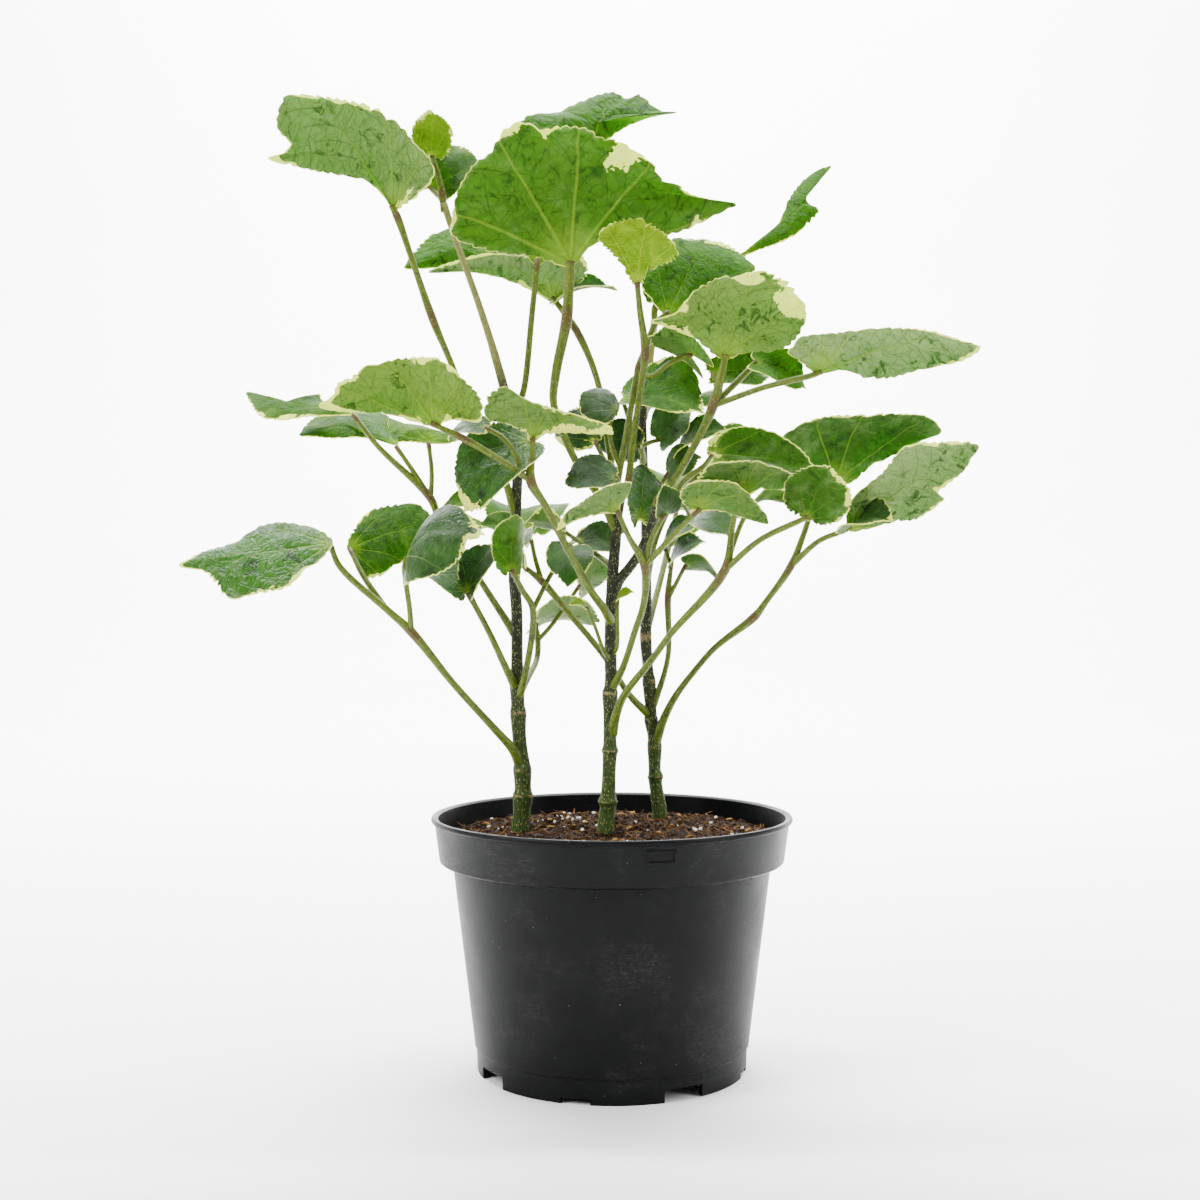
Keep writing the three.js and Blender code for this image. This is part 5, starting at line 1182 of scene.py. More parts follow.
def leaf_finish(name, tones, rough, relief, soft, veins_show, gloss):
    """A blade's finish. Its tones run from deep and dark through middle and grey to lively, then vein and cream."""
    deep, dark, middle, grey, lively, vein, cream = tones
    main_line, side_line, net_line, vein_fades = veins_show
    made, g, shader = material(name)
    where = g.node("ShaderNodeUVMap", uv_map="leaf").outputs[0]
    tint, shade = g.mark("tint"), g.mark("shade")
    seed = g.times(tint, 37.0)
    veins = g.use(VEINS, Place=where, Seed=seed, Spread=VEIN_SPREAD)
    edge = g.use(CREAM, Place=where, Rim=g.mark("rim"), Width=g.mark("cream"), Band=g.mark("band"), Seed=seed)
    blots = g.use(MOTTLE, Place=g.place(), Size=62.0, Seed=tint)
    # Dark through middle to grey by paleness, whose low values partly stand for painted shade on shaded or strongly lit
    # blades.
    body = g.mix(g.span(shade, 0.0, 0.5), dark, middle)
    body = g.mix(g.span(shade, 0.5, 1.0), body, grey)
    patch = g.noise(g.joined(where, where, seed), 2.6, 3.0, 0.55, 0.5)
    streaky = g.noise(g.scaled(where, (3.2, 14.0, 1.0)), 1.5, 4.0, 0.6, 0.6)
    body = g.mix(g.times(blots["Light"], 0.6), body, grey)
    body = g.mix(g.span(streaky, 0.52, 0.75, 0.0, 0.4), body, grey)
    lit = g.mix(g.span(shade, 0.4, 1.0, 0.0, 0.5), lively, vein)
    body = g.mix(g.times(g.mark("vivid"), g.span(patch, 0.3, 0.6, 0.6, 1.0)), body, lit)
    body = g.mix(g.times(blots["Dark"], 0.85), body, deep)
    body = g.mix(g.times(edge["Pale"], 0.45), body, grey)
    reach = g.node("ShaderNodeVectorMath", {0: where}, operation="LENGTH").outputs["Value"]
    line = g.mix(g.times(g.span(reach, 0.25, 0.8), vein_fades), vein, deep)
    body = g.mix(g.times(veins["Net"], net_line), body, deep)
    body = g.mix(g.times(veins["Side"], side_line), body, deep)
    body = g.mix(g.times(veins["Main"], main_line), body, line)
    body = g.mix(g.span(reach, 0.16, 0.02, 0.0, 0.6), body, vein)
    whole = g.mix(edge["Cream"], body, cream)
    whole = g.mix(g.times(blots["Specks"], 0.3), whole, deep)
    raised = g.math("MULTIPLY_ADD", veins["Main"], 1.0, g.times(veins["Side"], 0.6))
    raised = g.math("MULTIPLY_ADD", veins["Net"], 0.25, raised)
    normal = g.bump(raised, 0.7, relief)
    normal = g.bump(veins["Cell"], 0.35, -0.9 * relief, normal)
    normal = g.bump(g.noise(g.place(), 900.0, 3.0, 0.6), 0.12, 0.0004, normal)
    uneven = g.noise(g.place(), 160.0, 3.0, 0.6)
    roughness = g.span(uneven, 0.25, 0.75, rough - 0.06, rough + 0.1)
    finish_with(g, shader, Base_Color=whole, Roughness=roughness, Normal=normal)
    finish_with(
        g, shader, Subsurface_Weight=soft, Subsurface_Radius=(0.55, 1.0, 0.2), Subsurface_Scale=0.0016,
        Specular_IOR_Level=gloss,
    )
    return made


CREAM_TONE = colour(214, 220, 92)
LEAF_UNDER = leaf_finish("leaf underside", (
    colour(26, 50, 8), colour(40, 72, 10), colour(62, 98, 18), colour(112, 134, 80), colour(54, 94, 0),
    colour(120, 146, 36), CREAM_TONE,
), 0.55, 0.0009, 0.28, (0.45, 0.45, 0.35, 0.8), 0.08)
LEAF_UPPER = leaf_finish("leaf upper side", (
    colour(14, 32, 6), colour(22, 50, 8), colour(36, 72, 12), colour(70, 106, 46), colour(52, 112, 0),
    colour(104, 136, 40), CREAM_TONE,
), 0.34, -0.001, 0.1, (0.6, 0.25, 0.15, 0.2), 0.14)
LEAF_YOUNG = leaf_finish("young leaf", (
    colour(74, 98, 0), colour(100, 134, 0), colour(120, 154, 0), colour(146, 172, 0), colour(124, 160, 0),
    colour(164, 180, 40), colour(206, 214, 90),
), 0.42, 0.0008, 0.22, (0.7, 0.4, 0.3, 0.0), 0.08)
# The lit finish: less glossy, with tones painted darker for blades that face the lamps, against the strong light on
# them.
LEAF_LIT_PAINTED_DARKER = leaf_finish("lit blade painted darker", (
    colour(20, 44, 4), colour(32, 64, 2), colour(50, 86, 4), colour(80, 112, 28), colour(48, 98, 0),
    colour(100, 136, 10), CREAM_TONE,
), 0.5, -0.0008, 0.2, (0.5, 0.3, 0.2, 0.2), 0.03)


def stalk_finish():
    """Olive stalk skin with fine lines and dots, brown at the joints."""
    made, g, shader = material("stalk skin")
    along, around, brown = g.mark("along"), g.mark("around"), g.mark("brown")
    lines = g.noise(g.joined(g.times(around, 2.4), g.times(along, 0.05)), 1.6, 4.0, 0.65)
    spots = g.noise(g.place(), 420.0, 4.0, 0.7)
    base = g.mix(g.span(lines, 0.35, 0.7), colour(56, 74, 4), colour(98, 110, 14))
    base = g.mix(g.span(spots, 0.5, 0.7), base, colour(54, 68, 24))
    base = g.mix(g.times(g.span(brown, 0.3, 0.95), 0.7), base, colour(74, 46, 24))
    dots = g.cells(g.place(), 620.0).outputs["Distance"]
    base = g.mix(g.times(g.minus(1.0, g.span(dots, 0.12, 0.3)), 0.4), base, colour(140, 146, 80))
    normal = g.bump(lines, 0.35, 0.0005)
    normal = g.bump(spots, 0.2, 0.0003, normal)
    rough = g.span(spots, 0.3, 0.7, 0.38, 0.56)
    finish_with(g, shader, Base_Color=base, Roughness=rough, Normal=normal)
    finish_with(
        g, shader, Subsurface_Weight=0.08, Subsurface_Radius=(0.6, 1.0, 0.3), Subsurface_Scale=0.001,
        Specular_IOR_Level=0.25,
    )
    return made


def bark_finish():
    """Grey-green bark with upright pale lenticels, greener towards the foot, tan on the leaf-scar rings."""
    made, g, shader = material("bark")
    along, around, brown = g.mark("along"), g.mark("around"), g.mark("brown")
    skin = g.joined(g.times(around, 4.0), g.times(along, 0.16))
    streak = g.noise(skin, 1.2, 5.0, 0.7)
    blots = g.noise(g.place(), 130.0, 4.0, 0.65)
    height = g.node("ShaderNodeSeparateXYZ", {0: g.place()}).outputs[2]
    lower = g.span(height, 0.2, 0.12)
    dark = g.mix(lower, colour(22, 26, 16), colour(30, 46, 14))
    light = g.mix(lower, colour(50, 56, 34), colour(66, 88, 28))
    base = g.mix(g.span(streak, 0.35, 0.68), dark, light)
    fresh = g.mix(g.span(streak, 0.3, 0.7), colour(92, 98, 40), colour(138, 134, 78))
    base = g.mix(g.span(height, 0.306, 0.33), base, fresh)
    base = g.mix(g.times(g.span(blots, 0.55, 0.72), 0.6), base, colour(84, 78, 48))
    marks = g.cells(g.joined(g.times(around, 3.2), g.times(along, 0.34)), 1.5).outputs["Distance"]
    pale = g.minus(1.0, g.span(marks, 0.12, 0.28))
    base = g.mix(g.times(pale, 0.85), base, colour(170, 166, 114))
    scar = g.times(g.span(brown, 0.7, 1.0), g.span(blots, 0.46, 0.6))
    base = g.mix(g.times(scar, g.span(streak, 0.3, 0.6)), base, colour(144, 126, 82))
    relief = g.math("MULTIPLY_ADD", pale, 0.6, streak)
    normal = g.bump(relief, 0.6, 0.0006)
    normal = g.bump(g.noise(g.place(), 1500.0, 3.0, 0.6), 0.3, 0.0002, normal)
    finish_with(g, shader, Base_Color=base, Roughness=g.span(blots, 0.3, 0.7, 0.6, 0.82), Normal=normal)
    finish_with(g, shader, Specular_IOR_Level=0.2)
    return made


def pot_finish():
    """Satin black plastic with fine scuffs, a little dust and dried drips."""
    made, g, shader = material("pot plastic")
    where = g.place()
    cloud = g.noise(where, 26.0, 4.0, 0.6)
    fine = g.noise(where, 520.0, 4.0, 0.7)
    scratch = g.noise(g.scaled(where, (1.0, 1.0, 16.0)), 90.0, 3.0, 0.6, 0.8)
    lines = g.span(g.math("ABSOLUTE", g.minus(scratch, 0.5)), 0.012, 0.002)
    lines = g.times(lines, g.span(cloud, 0.5, 0.62))
    motes = g.cells(where, 330.0)
    size = g.times(g.node("ShaderNodeSeparateColor", {0: motes.outputs["Color"]}).outputs[0], 0.16)
    dust = g.math("LESS_THAN", motes.outputs["Distance"], g.minus(size, 0.1))
    film = g.times(g.span(fine, 0.45, 0.75), g.span(cloud, 0.45, 0.7))
    base = g.mix(g.span(cloud, 0.3, 0.7), colour(9, 10, 11), colour(15, 16, 17))
    base = g.mix(g.times(film, 0.1), base, colour(90, 88, 84))
    base = g.mix(g.times(lines, 0.22), base, colour(90, 90, 88))
    base = g.mix(g.times(dust, 0.7), base, colour(140, 136, 126))
    rough = g.span(cloud, 0.3, 0.7, 0.36, 0.46)
    rough = g.math("MULTIPLY_ADD", film, 0.2, rough)
    normal = g.bump(fine, 0.08, 0.0003)
    normal = g.bump(cloud, 0.12, 0.0016, normal)
    finish_with(g, shader, Base_Color=base, Roughness=rough, Normal=normal, Specular_IOR_Level=0.07)
    return made


def soil_finish(name, dark, light, size, rough=0.92):
    """A dull, grainy finish between two tones."""
    made, g, shader = material(name)
    where = g.place()
    broad = g.noise(where, size, 5.0, 0.7)
    fine = g.noise(where, size * 9, 4.0, 0.7)
    base = g.mix(g.span(broad, 0.3, 0.7), dark, light)
    base = g.mix(g.times(g.span(fine, 0.55, 0.75), 0.5), base, light)
    normal = g.bump(g.plus(broad, g.times(fine, 0.5)), 0.7, 0.0012)
    finish_with(g, shader, Base_Color=base, Roughness=g.span(fine, 0.3, 0.7, rough - 0.1, rough), Normal=normal)
    finish_with(g, shader, Specular_IOR_Level=0.1)
    return made


STALK, BARK, PLASTIC = stalk_finish(), bark_finish(), pot_finish()
SOIL = soil_finish("potting mix", colour(16, 10, 5), colour(42, 27, 14), 240.0)
CRUMB = soil_finish("mix crumbs", colour(20, 13, 6), colour(68, 44, 20), 300.0)
FIBRE = soil_finish("mix fibres", colour(70, 46, 20), colour(128, 90, 46), 200.0)
PERLITE = soil_finish("perlite", colour(206, 202, 190), colour(240, 238, 230), 500.0, 0.85)
HUSK = soil_finish("bark chips", colour(90, 62, 30), colour(156, 122, 68), 260.0)


# ---------------------------------------------------------------- leaves

BLADE_FINISHES = [LEAF_UNDER, LEAF_UPPER, LEAF_YOUNG, STALK, LEAF_LIT_PAINTED_DARKER]


def leaf_piece(name, row, number):
    """A leaf or leafy shoot, with its stalks and blades in one mesh."""
    sheet = Sheet()
    rng = random.Random(1000 + number)
    for rows in row["stalks"]:
        add_tube(sheet, rows, STALK_FINISH, sides=12, steps=6, swell=0.12, groove=0.08)
    for blade in row["blades"]:
        add_blade(sheet, blade, row["tone"] == "young" and not blade.get("grown"), rng)
    thing = sheet.piece(name + "_grown", BLADE_FINISHES)
    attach(thing, "root")
    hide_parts(name)


for number, (name, row) in enumerate(LEAVES.items()):
    leaf_piece(name, row, number)


# ---------------------------------------------------------------- canes

def cane_piece(name, canes, number):
    """A cane with low ribs and small knots along its bark."""
    rng = random.Random(50 + number)
    knots = [(rng.uniform(0, 260), rng.uniform(0, 6.28), rng.uniform(0.03, 0.08)) for _ in range(26)]

    def ridge(along, turn):
        rise = 0.025 * math.sin(3 * turn + along * 0.05) + 0.012 * math.sin(7 * turn - along * 0.11)
        for place_along, place_turn, size in knots:
            away = (along - place_along) / 2.6
            if abs(away) < 2.5:
                swing = (turn - place_turn + math.pi) % (2 * math.pi) - math.pi
                rise += size * math.exp(-(away**2) - (swing / 0.5) ** 2)
        return rise

    sheet = Sheet()
    for rows in canes:
        add_tube(sheet, rows, 0, sides=28, steps=9, ridge=ridge, swell=0.04)
    thing = sheet.piece(name + "_barked", [BARK])
    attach(thing, "root")
    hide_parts(name)


for number, (name, canes) in enumerate(CANES.items()):
    cane_piece(name, canes, number)


# ---------------------------------------------------------------- pot

def lathe(name, profile, segments, materials):
    """A closed turned shape from radius and height rows that start and end on the axis."""
    shape = bmesh.new()
    rings = []
    for radius, height in profile:
        if radius < 1e-6:
            rings.append([shape.verts.new((0, 0, height * MM))])
            continue
        rings.append([
            shape.verts.new((
                radius * MM * math.cos(2 * math.pi * k / segments),
                radius * MM * math.sin(2 * math.pi * k / segments),
                height * MM,
            ))
            for k in range(segments)
        ])
    for lower, upper in zip(rings, rings[1:]):
        for k in range(segments):
            n = (k + 1) % segments
            corners = [lower[k % len(lower)], lower[n % len(lower)], upper[n % len(upper)], upper[k % len(upper)]]
            kept = list(dict.fromkeys(corners))
            if len(kept) > 2:
                shape.faces.new(kept)
    bmesh.ops.recalc_face_normals(shape, faces=shape.faces)
    mesh = bpy.data.meshes.new(name)
    shape.to_mesh(mesh)
    shape.free()
    for finish in materials:
        mesh.materials.append(finish)
    return stand(name, mesh)


def settle(thing):
    """Turns an object's modifiers into its mesh."""
    graph = bpy.context.evaluated_depsgraph_get()
    graph.update()
    mesh = bpy.data.meshes.new_from_object(thing.evaluated_get(graph))
    thing.modifiers.clear()
    thing.data = mesh
    return thing


def block(sizes, centre, angle):
    """A box that cuts a notch in the foot, turned about the axis."""
    mesh = bpy.data.meshes.new("cutter")
    shape = bmesh.new()
    bmesh.ops.create_cube(shape, size=1.0)
    for vert in shape.verts:
        x, y, z = (vert.co[i] * sizes[i] + centre[i] for i in range(3))
        vert.co = (
            (x * math.cos(angle) - y * math.sin(angle)) * MM, (x * math.sin(angle) + y * math.cos(angle)) * MM, z * MM,
        )
    shape.to_mesh(mesh)
    shape.free()
    return mesh


def drain(angle):
    """A round drill for a drain hole in the channel, turned about the axis."""
    mesh = bpy.data.meshes.new("drain")
    shape = bmesh.new()
    bmesh.ops.create_cone(
        shape, cap_ends=True, segments=28, radius1=5 * MM, radius2=5 * MM, depth=12 * MM,
    )
    for vert in shape.verts:
        x, y, z = vert.co.x + (FOOT_RADIUS - 12) * MM, vert.co.y, vert.co.z + (CHANNEL_HEIGHT + 1) * MM
        vert.co = (x * math.cos(angle) - y * math.sin(angle), x * math.sin(angle) + y * math.cos(angle), z)
    shape.to_mesh(mesh)
    shape.free()
    return mesh


def label_frame(sheet):
    """The bare raised rectangle on the band, as four rounded bars in one closed ring."""
    across, up, width, relief = 13.0, 6.0, 1.1, 0.5
    lean = math.atan2(BAND_TOP_RADIUS - BAND_BOTTOM_RADIUS, POT_HEIGHT - BAND_BOTTOM)
    outline = [(-1, -1), (1, -1), (1, 1), (-1, 1)]
    section = [
        (0.0, -1.0), (0.0, relief - 0.15), (0.15, relief), (width - 0.15, relief), (width, relief - 0.15),
        (width, -1.0),
    ]
    points, faces = [], []
    for sx, sy in outline:
        for inset, out in section:
            x, z = sx * (across / 2 - inset), sy * (up / 2 - inset)
            radius = BAND_TOP_RADIUS + out + (108 + z - POT_HEIGHT) * math.tan(lean) + 0.2
            radius -= x * x / (2 * BAND_TOP_RADIUS)
            ca, sa = math.cos(LABEL_ANGLE), math.sin(LABEL_ANGLE)
            points.append(Vector((radius * ca - x * sa, radius * sa + x * ca, 108 + z)))
    count = len(section)
    for corner in range(4):
        nxt = (corner + 1) % 4
        for i in range(count):
            j = (i + 1) % count
            faces.append((corner * count + i, corner * count + j, nxt * count + j, nxt * count + i))
    sheet.add(points, faces, 0)


def pot_piece():
    """The moulded pot with its notches, drain holes and label frame."""
    channel_top = CHANNEL_HEIGHT + POT_WALL
    pot = lathe("pot_moulded", [
        (0, 0), (DISC_RADIUS - 0.5, 0), (DISC_RADIUS, 0.3), (DISC_RADIUS + 1.5, CHANNEL_HEIGHT),
        (FOOT_RADIUS - 3.2, CHANNEL_HEIGHT), (FOOT_RADIUS - 2, 0.2), (FOOT_RADIUS - 1.7, 0), (FOOT_RADIUS - 0.3, 0),
        (FOOT_RADIUS, 0.3), (SEAM_RADIUS - 0.75, SEAM_HEIGHT - 0.7), (SEAM_RADIUS - 0.3, SEAM_HEIGHT - 0.35),
        (SEAM_RADIUS, SEAM_HEIGHT), (SEAM_RADIUS + 3, SEAM_HEIGHT + 25), (BODY_TOP_RADIUS - 3, BAND_BOTTOM - 26),
        (BODY_TOP_RADIUS, BAND_BOTTOM - 1.2), (BODY_TOP_RADIUS + 0.5, BAND_BOTTOM - 0.85),
        (BODY_TOP_RADIUS + 3.6, BAND_BOTTOM - 0.8), (BAND_BOTTOM_RADIUS - 0.8, BAND_BOTTOM - 0.2),
        (BAND_BOTTOM_RADIUS - 0.2, BAND_BOTTOM + 0.3), (BAND_BOTTOM_RADIUS, BAND_BOTTOM + 1.2),
        (BAND_TOP_RADIUS - 0.05, POT_HEIGHT - 3.0), (BAND_TOP_RADIUS + 0.2, POT_HEIGHT - 2.55),
        (LIP_RADIUS - 0.4, POT_HEIGHT - 2.25), (LIP_RADIUS - 0.05, POT_HEIGHT - 1.9), (LIP_RADIUS, POT_HEIGHT - 1.2),
        (LIP_RADIUS - 0.15, POT_HEIGHT - 0.6), (LIP_RADIUS - 0.5, POT_HEIGHT - 0.2),
        (LIP_RADIUS - 0.95, POT_HEIGHT - 0.02), (LIP_RADIUS - 1.4, POT_HEIGHT), (LIP_RADIUS - 2.2, POT_HEIGHT - 0.25),
        (BAND_TOP_RADIUS - LIP_THICKNESS, POT_HEIGHT - 0.9), (BAND_BOTTOM_RADIUS - POT_WALL, BAND_BOTTOM + 1.6),
        (BAND_BOTTOM_RADIUS - POT_WALL - 0.6, BAND_BOTTOM + 1), (BODY_TOP_RADIUS - POT_WALL, BAND_BOTTOM + 0.8),
        (SEAM_RADIUS - POT_WALL, SEAM_HEIGHT), (FOOT_RADIUS - POT_WALL - 0.6, channel_top),
        (DISC_RADIUS + 0.2, channel_top), (DISC_RADIUS - 1.4, POT_WALL), (0, POT_WALL),
    ], 160, [PLASTIC])
    cutters = []
    for i in range(4):
        tall = -math.pi / 3 + i * math.pi / 2
        cutters.append(block((14, 19, CHANNEL_HEIGHT + 1), (FOOT_RADIUS, 0, (CHANNEL_HEIGHT - 1) / 2 - 0.4), tall))
        cutters.append(block((14, 13, 4.6), (FOOT_RADIUS, 0, 0.3), tall + math.pi / 4))
        cutters.append(drain(tall))
    helpers = []
    for mesh in cutters:
        helper = stand("cutter", mesh)
        helpers.append(helper)
        cut = pot.modifiers.new("cut", "BOOLEAN")
        cut.operation = "DIFFERENCE"
        cut.object = helper
        cut.solver = "EXACT"
    settle(pot)
    for helper in helpers:
        bpy.data.objects.remove(helper, do_unlink=True)
    frame_sheet = Sheet()
    label_frame(frame_sheet)
    label = frame_sheet.piece("label_frame", [PLASTIC])
    facing_out(label)
    soften(pot, 30)
    soften(label, 30)
    for thing in (pot, label):
        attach(thing, "root")
        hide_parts("pot")


def soften(thing, degrees):
    """Smooth shading, with the edges that turn by more than this kept sharp."""
    mesh = thing.data
    mesh.polygons.foreach_set("use_smooth", [True] * len(mesh.polygons))
    shape = bmesh.new()
    shape.from_mesh(mesh)
    for edge in shape.edges:
        edge.smooth = len(edge.link_faces) == 2 and edge.calc_face_angle(0) < math.radians(degrees)
    shape.to_mesh(mesh)
    shape.free()


pot_piece()


# ---------------------------------------------------------------- soil

def soil_height(x, y):
    """The height of the potting mix: a slight heap with clods."""
    radius = math.hypot(x, y) / BAND_TOP_RADIUS
    heap = SOIL_HEAP * (1 - radius * radius) * (0.6 + 0.4 * (y / BAND_TOP_RADIUS))
    clods = 0.9 * math.sin(x * 0.21 + 1.3) * math.cos(y * 0.18) + 0.6 * math.sin(x * 0.43 - y * 0.37)
    return SOIL_TOP + heap + clods


def soil_bed():
    """The mix itself: a closed lump that fills the top of the pot, with a crumbly upper surface."""
    rng = random.Random(7)
    sheet = Sheet()
    segments, rings = 120, 44
    edge_radius = BAND_BOTTOM_RADIUS - POT_WALL - 0.2
    points, faces = [], []
    for ring in range(1, rings + 1):
        radius = edge_radius * ring / rings
        for k in range(segments):
            turn = 2 * math.pi * k / segments
            x, y = radius * math.cos(turn), radius * math.sin(turn)
            rough = rng.gauss(0, 0.35) if ring < rings else -0.8
            points.append(Vector((x, y, soil_height(x, y) + rough)))
    hub = len(points)
    points.append(Vector((0, 0, soil_height(0, 0))))
    for k in range(segments):
        faces.append((hub, k, (k + 1) % segments))
    for ring in range(1, rings):
        low, high = (ring - 1) * segments, ring * segments
        for k in range(segments):
            n = (k + 1) % segments
            faces.append((low + k, high + k, high + n, low + n))
    rim = (rings - 1) * segments
    foot = len(points)
    for k in range(segments):
        turn = 2 * math.pi * k / segments
        radius = BODY_TOP_RADIUS - POT_WALL - 2.6
        points.append(Vector((radius * math.cos(turn), radius * math.sin(turn), BAND_BOTTOM - 8)))
    for k in range(segments):
        n = (k + 1) % segments
        faces.append((rim + k, foot + k, foot + n, rim + n))
    faces.append(tuple(foot + k for k in reversed(range(segments))))
    sheet.add(points, faces, 0)
    return sheet.piece("potting_mix", [SOIL])


def scatter(bed, name, finish, count, shape, smallest, largest, sink, flatten, seed):
    """Strews one shape over the upper side of the bed and bakes the result into a mesh of its own."""
    tree = bpy.data.node_groups.new("strew " + name, "GeometryNodeTree")
    tree.interface.new_socket("Geometry", in_out="INPUT", socket_type="NodeSocketGeometry")
    tree.interface.new_socket("Geometry", in_out="OUTPUT", socket_type="NodeSocketGeometry")
    ids = {
        label: add_input(tree, label, kind, value) for label, kind, value in (
            ("Density", FLOAT, 1.0), ("Smallest", FLOAT, 0.001), ("Largest", FLOAT, 0.002), ("Sink", FLOAT, 0.0),
            ("Seed", "NodeSocketInt", 0), ("Grain", "NodeSocketObject", None),
        )
    }
    g = Graph(tree)
    given = g.node("NodeGroupInput").outputs
    height = g.node("ShaderNodeSeparateXYZ", {0: g.node("GeometryNodeInputNormal").outputs[0]}).outputs[2]
    upper = g.node("FunctionNodeCompare", {0: height, 1: 0.3}, operation="GREATER_THAN").outputs[0]
    spread = g.node(
        "GeometryNodeDistributePointsOnFaces",
        {"Mesh": given["Geometry"], "Density": given["Density"], "Seed": given["Seed"], "Selection": upper},
    )
    turn = g.node("FunctionNodeRandomValue", {"Seed": given["Seed"]}, data_type="FLOAT_VECTOR")
    turn.inputs[0].default_value = (-0.5, -0.5, 0.0) if flatten else (0.0, 0.0, 0.0)
    turn.inputs[1].default_value = (0.5, 0.5, 6.283) if flatten else (6.283, 6.283, 6.283)
    size = g.node("FunctionNodeRandomValue", {"Seed": given["Seed"]}, data_type="FLOAT")
    tree.links.new(given["Smallest"], size.inputs[2])
    tree.links.new(given["Largest"], size.inputs[3])
    grain = g.node("GeometryNodeObjectInfo", {"Object": given["Grain"]}).outputs["Geometry"]
    strewn = g.node(
        "GeometryNodeInstanceOnPoints",
        {"Points": spread.outputs["Points"], "Instance": grain, "Rotation": turn.outputs[0], "Scale": size.outputs[1]},
    )
    drop = g.node("ShaderNodeCombineXYZ", {"Z": g.times(given["Sink"], -1.0)}).outputs[0]
    moved = g.node("GeometryNodeTranslateInstances", {"Instances": strewn.outputs[0], "Translation": drop})
    moved.inputs["Local Space"].default_value = False
    real = g.node("GeometryNodeRealizeInstances", {"Geometry": moved.outputs[0]})
    coated = g.node("GeometryNodeSetMaterial", {"Geometry": real.outputs[0], "Material": finish})
    end = g.node("NodeGroupOutput")
    tree.links.new(coated.outputs[0], end.inputs[0])
    thing = stand(name, bed.data.copy())
    strew = thing.modifiers.new("strew", "NODES")
    strew.node_group = tree
    area = math.pi * SOIL_REACH**2
    for label, value in (
        ("Density", count / area), ("Smallest", smallest * MM), ("Largest", largest * MM), ("Sink", sink * MM),
        ("Seed", seed), ("Grain", shape),
    ):
        strew[ids[label]] = value
    settle(thing)
    thing.data.materials.clear()
    thing.data.materials.append(finish)
    thing.data.polygons.foreach_set("material_index", [0] * len(thing.data.polygons))
    return thing


def grain(name, sides, stretch, seed, bend=0.0):
    """One lumpy unit grain of a few dozen faces."""
    rng = random.Random(seed)
    shape = bmesh.new()
    bmesh.ops.create_icosphere(shape, subdivisions=sides, radius=0.5)
    for vert in shape.verts:
        vert.co *= rng.uniform(0.72, 1.12)
        vert.co = Vector((vert.co.x * stretch[0], vert.co.y * stretch[1], vert.co.z * stretch[2]))
        vert.co.y += bend * vert.co.x**2
    mesh = bpy.data.meshes.new(name)
    shape.to_mesh(mesh)
    shape.free()
    return stand(name, mesh)


def soil_pieces():
    """The bed of potting mix and what is strewn over it."""
    bed = soil_bed()
    grains = [
        grain("grain_round", 1, (1, 0.8, 0.7), 3),
        grain("grain_sliver", 1, (1, 0.16, 0.1), 4, bend=0.35),
        grain("grain_thread", 2, (1, 0.05, 0.05), 5, bend=0.5),
        grain("grain_perlite", 2, (1, 0.9, 0.8), 6),
        grain("grain_chip", 1, (1, 0.5, 0.3), 8),
    ]
    crumb, sliver, thread, bead, chip = grains
    strewn = [
        scatter(bed, "mix_crumbs_fine", CRUMB, 3600, crumb, 0.9, 2.6, 0.1, False, 11),
        scatter(bed, "mix_crumbs_coarse", SOIL, 700, crumb, 2.4, 4.6, 0.4, False, 12),
        scatter(bed, "mix_slivers", CRUMB, 900, sliver, 3.0, 7.5, -0.3, True, 13),
        scatter(bed, "mix_fibres", FIBRE, 420, thread, 4.0, 11.0, -0.8, True, 14),
        scatter(bed, "perlite_beads", PERLITE, 65, bead, 1.0, 2.4, -0.6, False, 15),
        scatter(bed, "bark_chips", HUSK, 60, chip, 2.5, 6.0, -0.6, True, 16),
    ]
    for helper in grains:
        bpy.data.objects.remove(helper, do_unlink=True)
    for thing in [bed] + strewn:
        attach(thing, "root")
        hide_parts("soil")


soil_pieces()


# ---------------------------------------------------------------- floor, light and camera

def stage_finish():
    """Matt white with a faint cloud."""
    made, g, shader = material("studio white")
    cloud = g.noise(g.place(), 3.0, 2.0, 0.5)
    tone = g.mix(g.span(cloud, 0.3, 0.7), (0.86, 0.86, 0.86, 1.0), (0.88, 0.88, 0.88, 1.0))
    finish_with(g, shader, Base_Color=tone, Roughness=0.9)
    return made


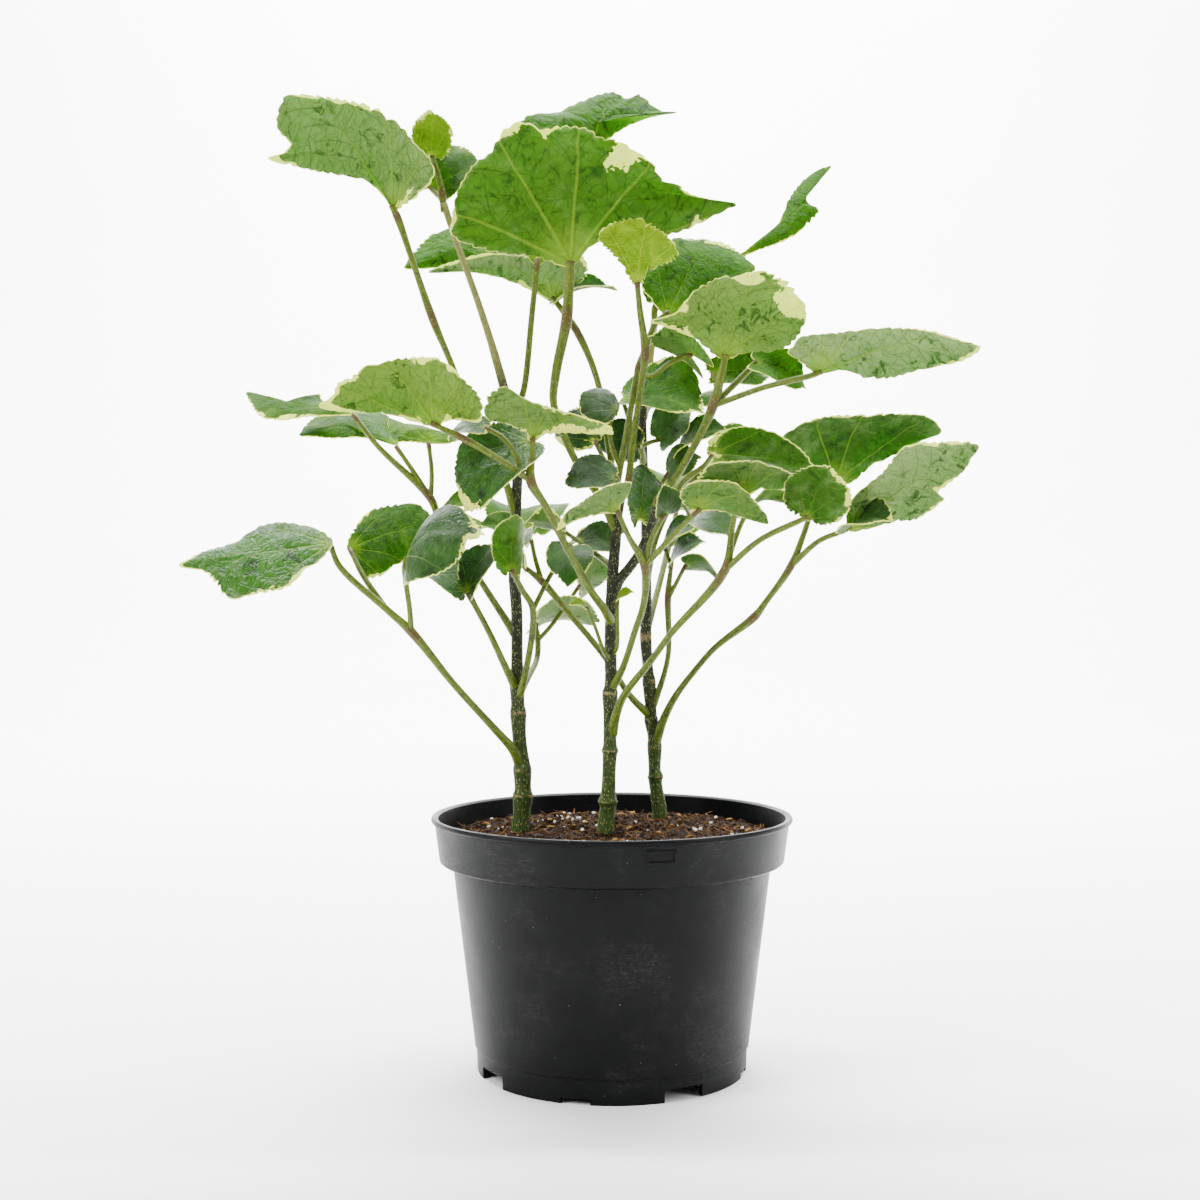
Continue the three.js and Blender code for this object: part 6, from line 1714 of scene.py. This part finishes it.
def stage():
    """A floor that bends up into a backdrop behind the plant."""
    profile = [(-2.2, 0.0)] + [(1.6, 0.0)]
    bend = [(1.6 + 1.4 * math.sin(a), 1.4 - 1.4 * math.cos(a)) for a in np.linspace(0, math.pi / 2, 14)[1:]]
    profile += bend + [(3.0, 4.0)]
    points = [(x, y, z) for y, z in profile for x in (-5.0, 5.0)]
    faces = [(2 * i, 2 * i + 1, 2 * i + 3, 2 * i + 2) for i in range(len(profile) - 1)]
    mesh = bpy.data.meshes.new("studio_floor")
    mesh.from_pydata(points, [], faces)
    mesh.materials.append(stage_finish())
    mesh.polygons.foreach_set("use_smooth", [True] * len(faces))
    stand("studio_floor", mesh)


def soft_light(name, place_at, aim, size, power):
    """A rectangular area light that points at a place."""
    lamp = bpy.data.lights.new(name, "AREA")
    lamp.shape = "RECTANGLE"
    lamp.size, lamp.size_y = size
    lamp.energy = power
    thing = stand(name, lamp)
    thing.location = place_at
    thing.rotation_euler = (Vector(aim) - Vector(place_at)).to_track_quat("-Z", "Y").to_euler()


stage()
soft_light("key_from_left", (-1.5, -0.9, 1.35), (0, 0, 0.22), (0.8, 1.4), 62)
soft_light("fill_from_right", (1.6, -0.7, 1.0), (0, 0, 0.2), (0.6, 1.5), 32)
soft_light("top", (0.1, 0.1, 1.9), (0, 0, 0.2), (1.4, 1.4), 34)
soft_light("back_glow", (0.2, 1.5, 1.2), (0, 0, 0.3), (2.0, 1.4), 12)
soft_light("backdrop_wash", (0.0, 0.9, 2.6), (0, 3.0, 1.0), (3.0, 1.0), 960)

world = bpy.data.worlds.new("studio")
world.use_nodes = True
world.node_tree.nodes["Background"].inputs[0].default_value = (1.0, 1.0, 1.0, 1.0)
world.node_tree.nodes["Background"].inputs[1].default_value = 0.32
bpy.context.scene.world = world

lens = bpy.data.cameras.new("camera")
lens.lens = 50
lens.sensor_width = 36
lens.clip_start = 0.05
camera = stand("camera", lens)
camera.location = (-0.0054, -0.7639, 0.2196)
camera.rotation_euler = (math.pi / 2 - 0.008, 0, 0)
bpy.context.scene.camera = camera
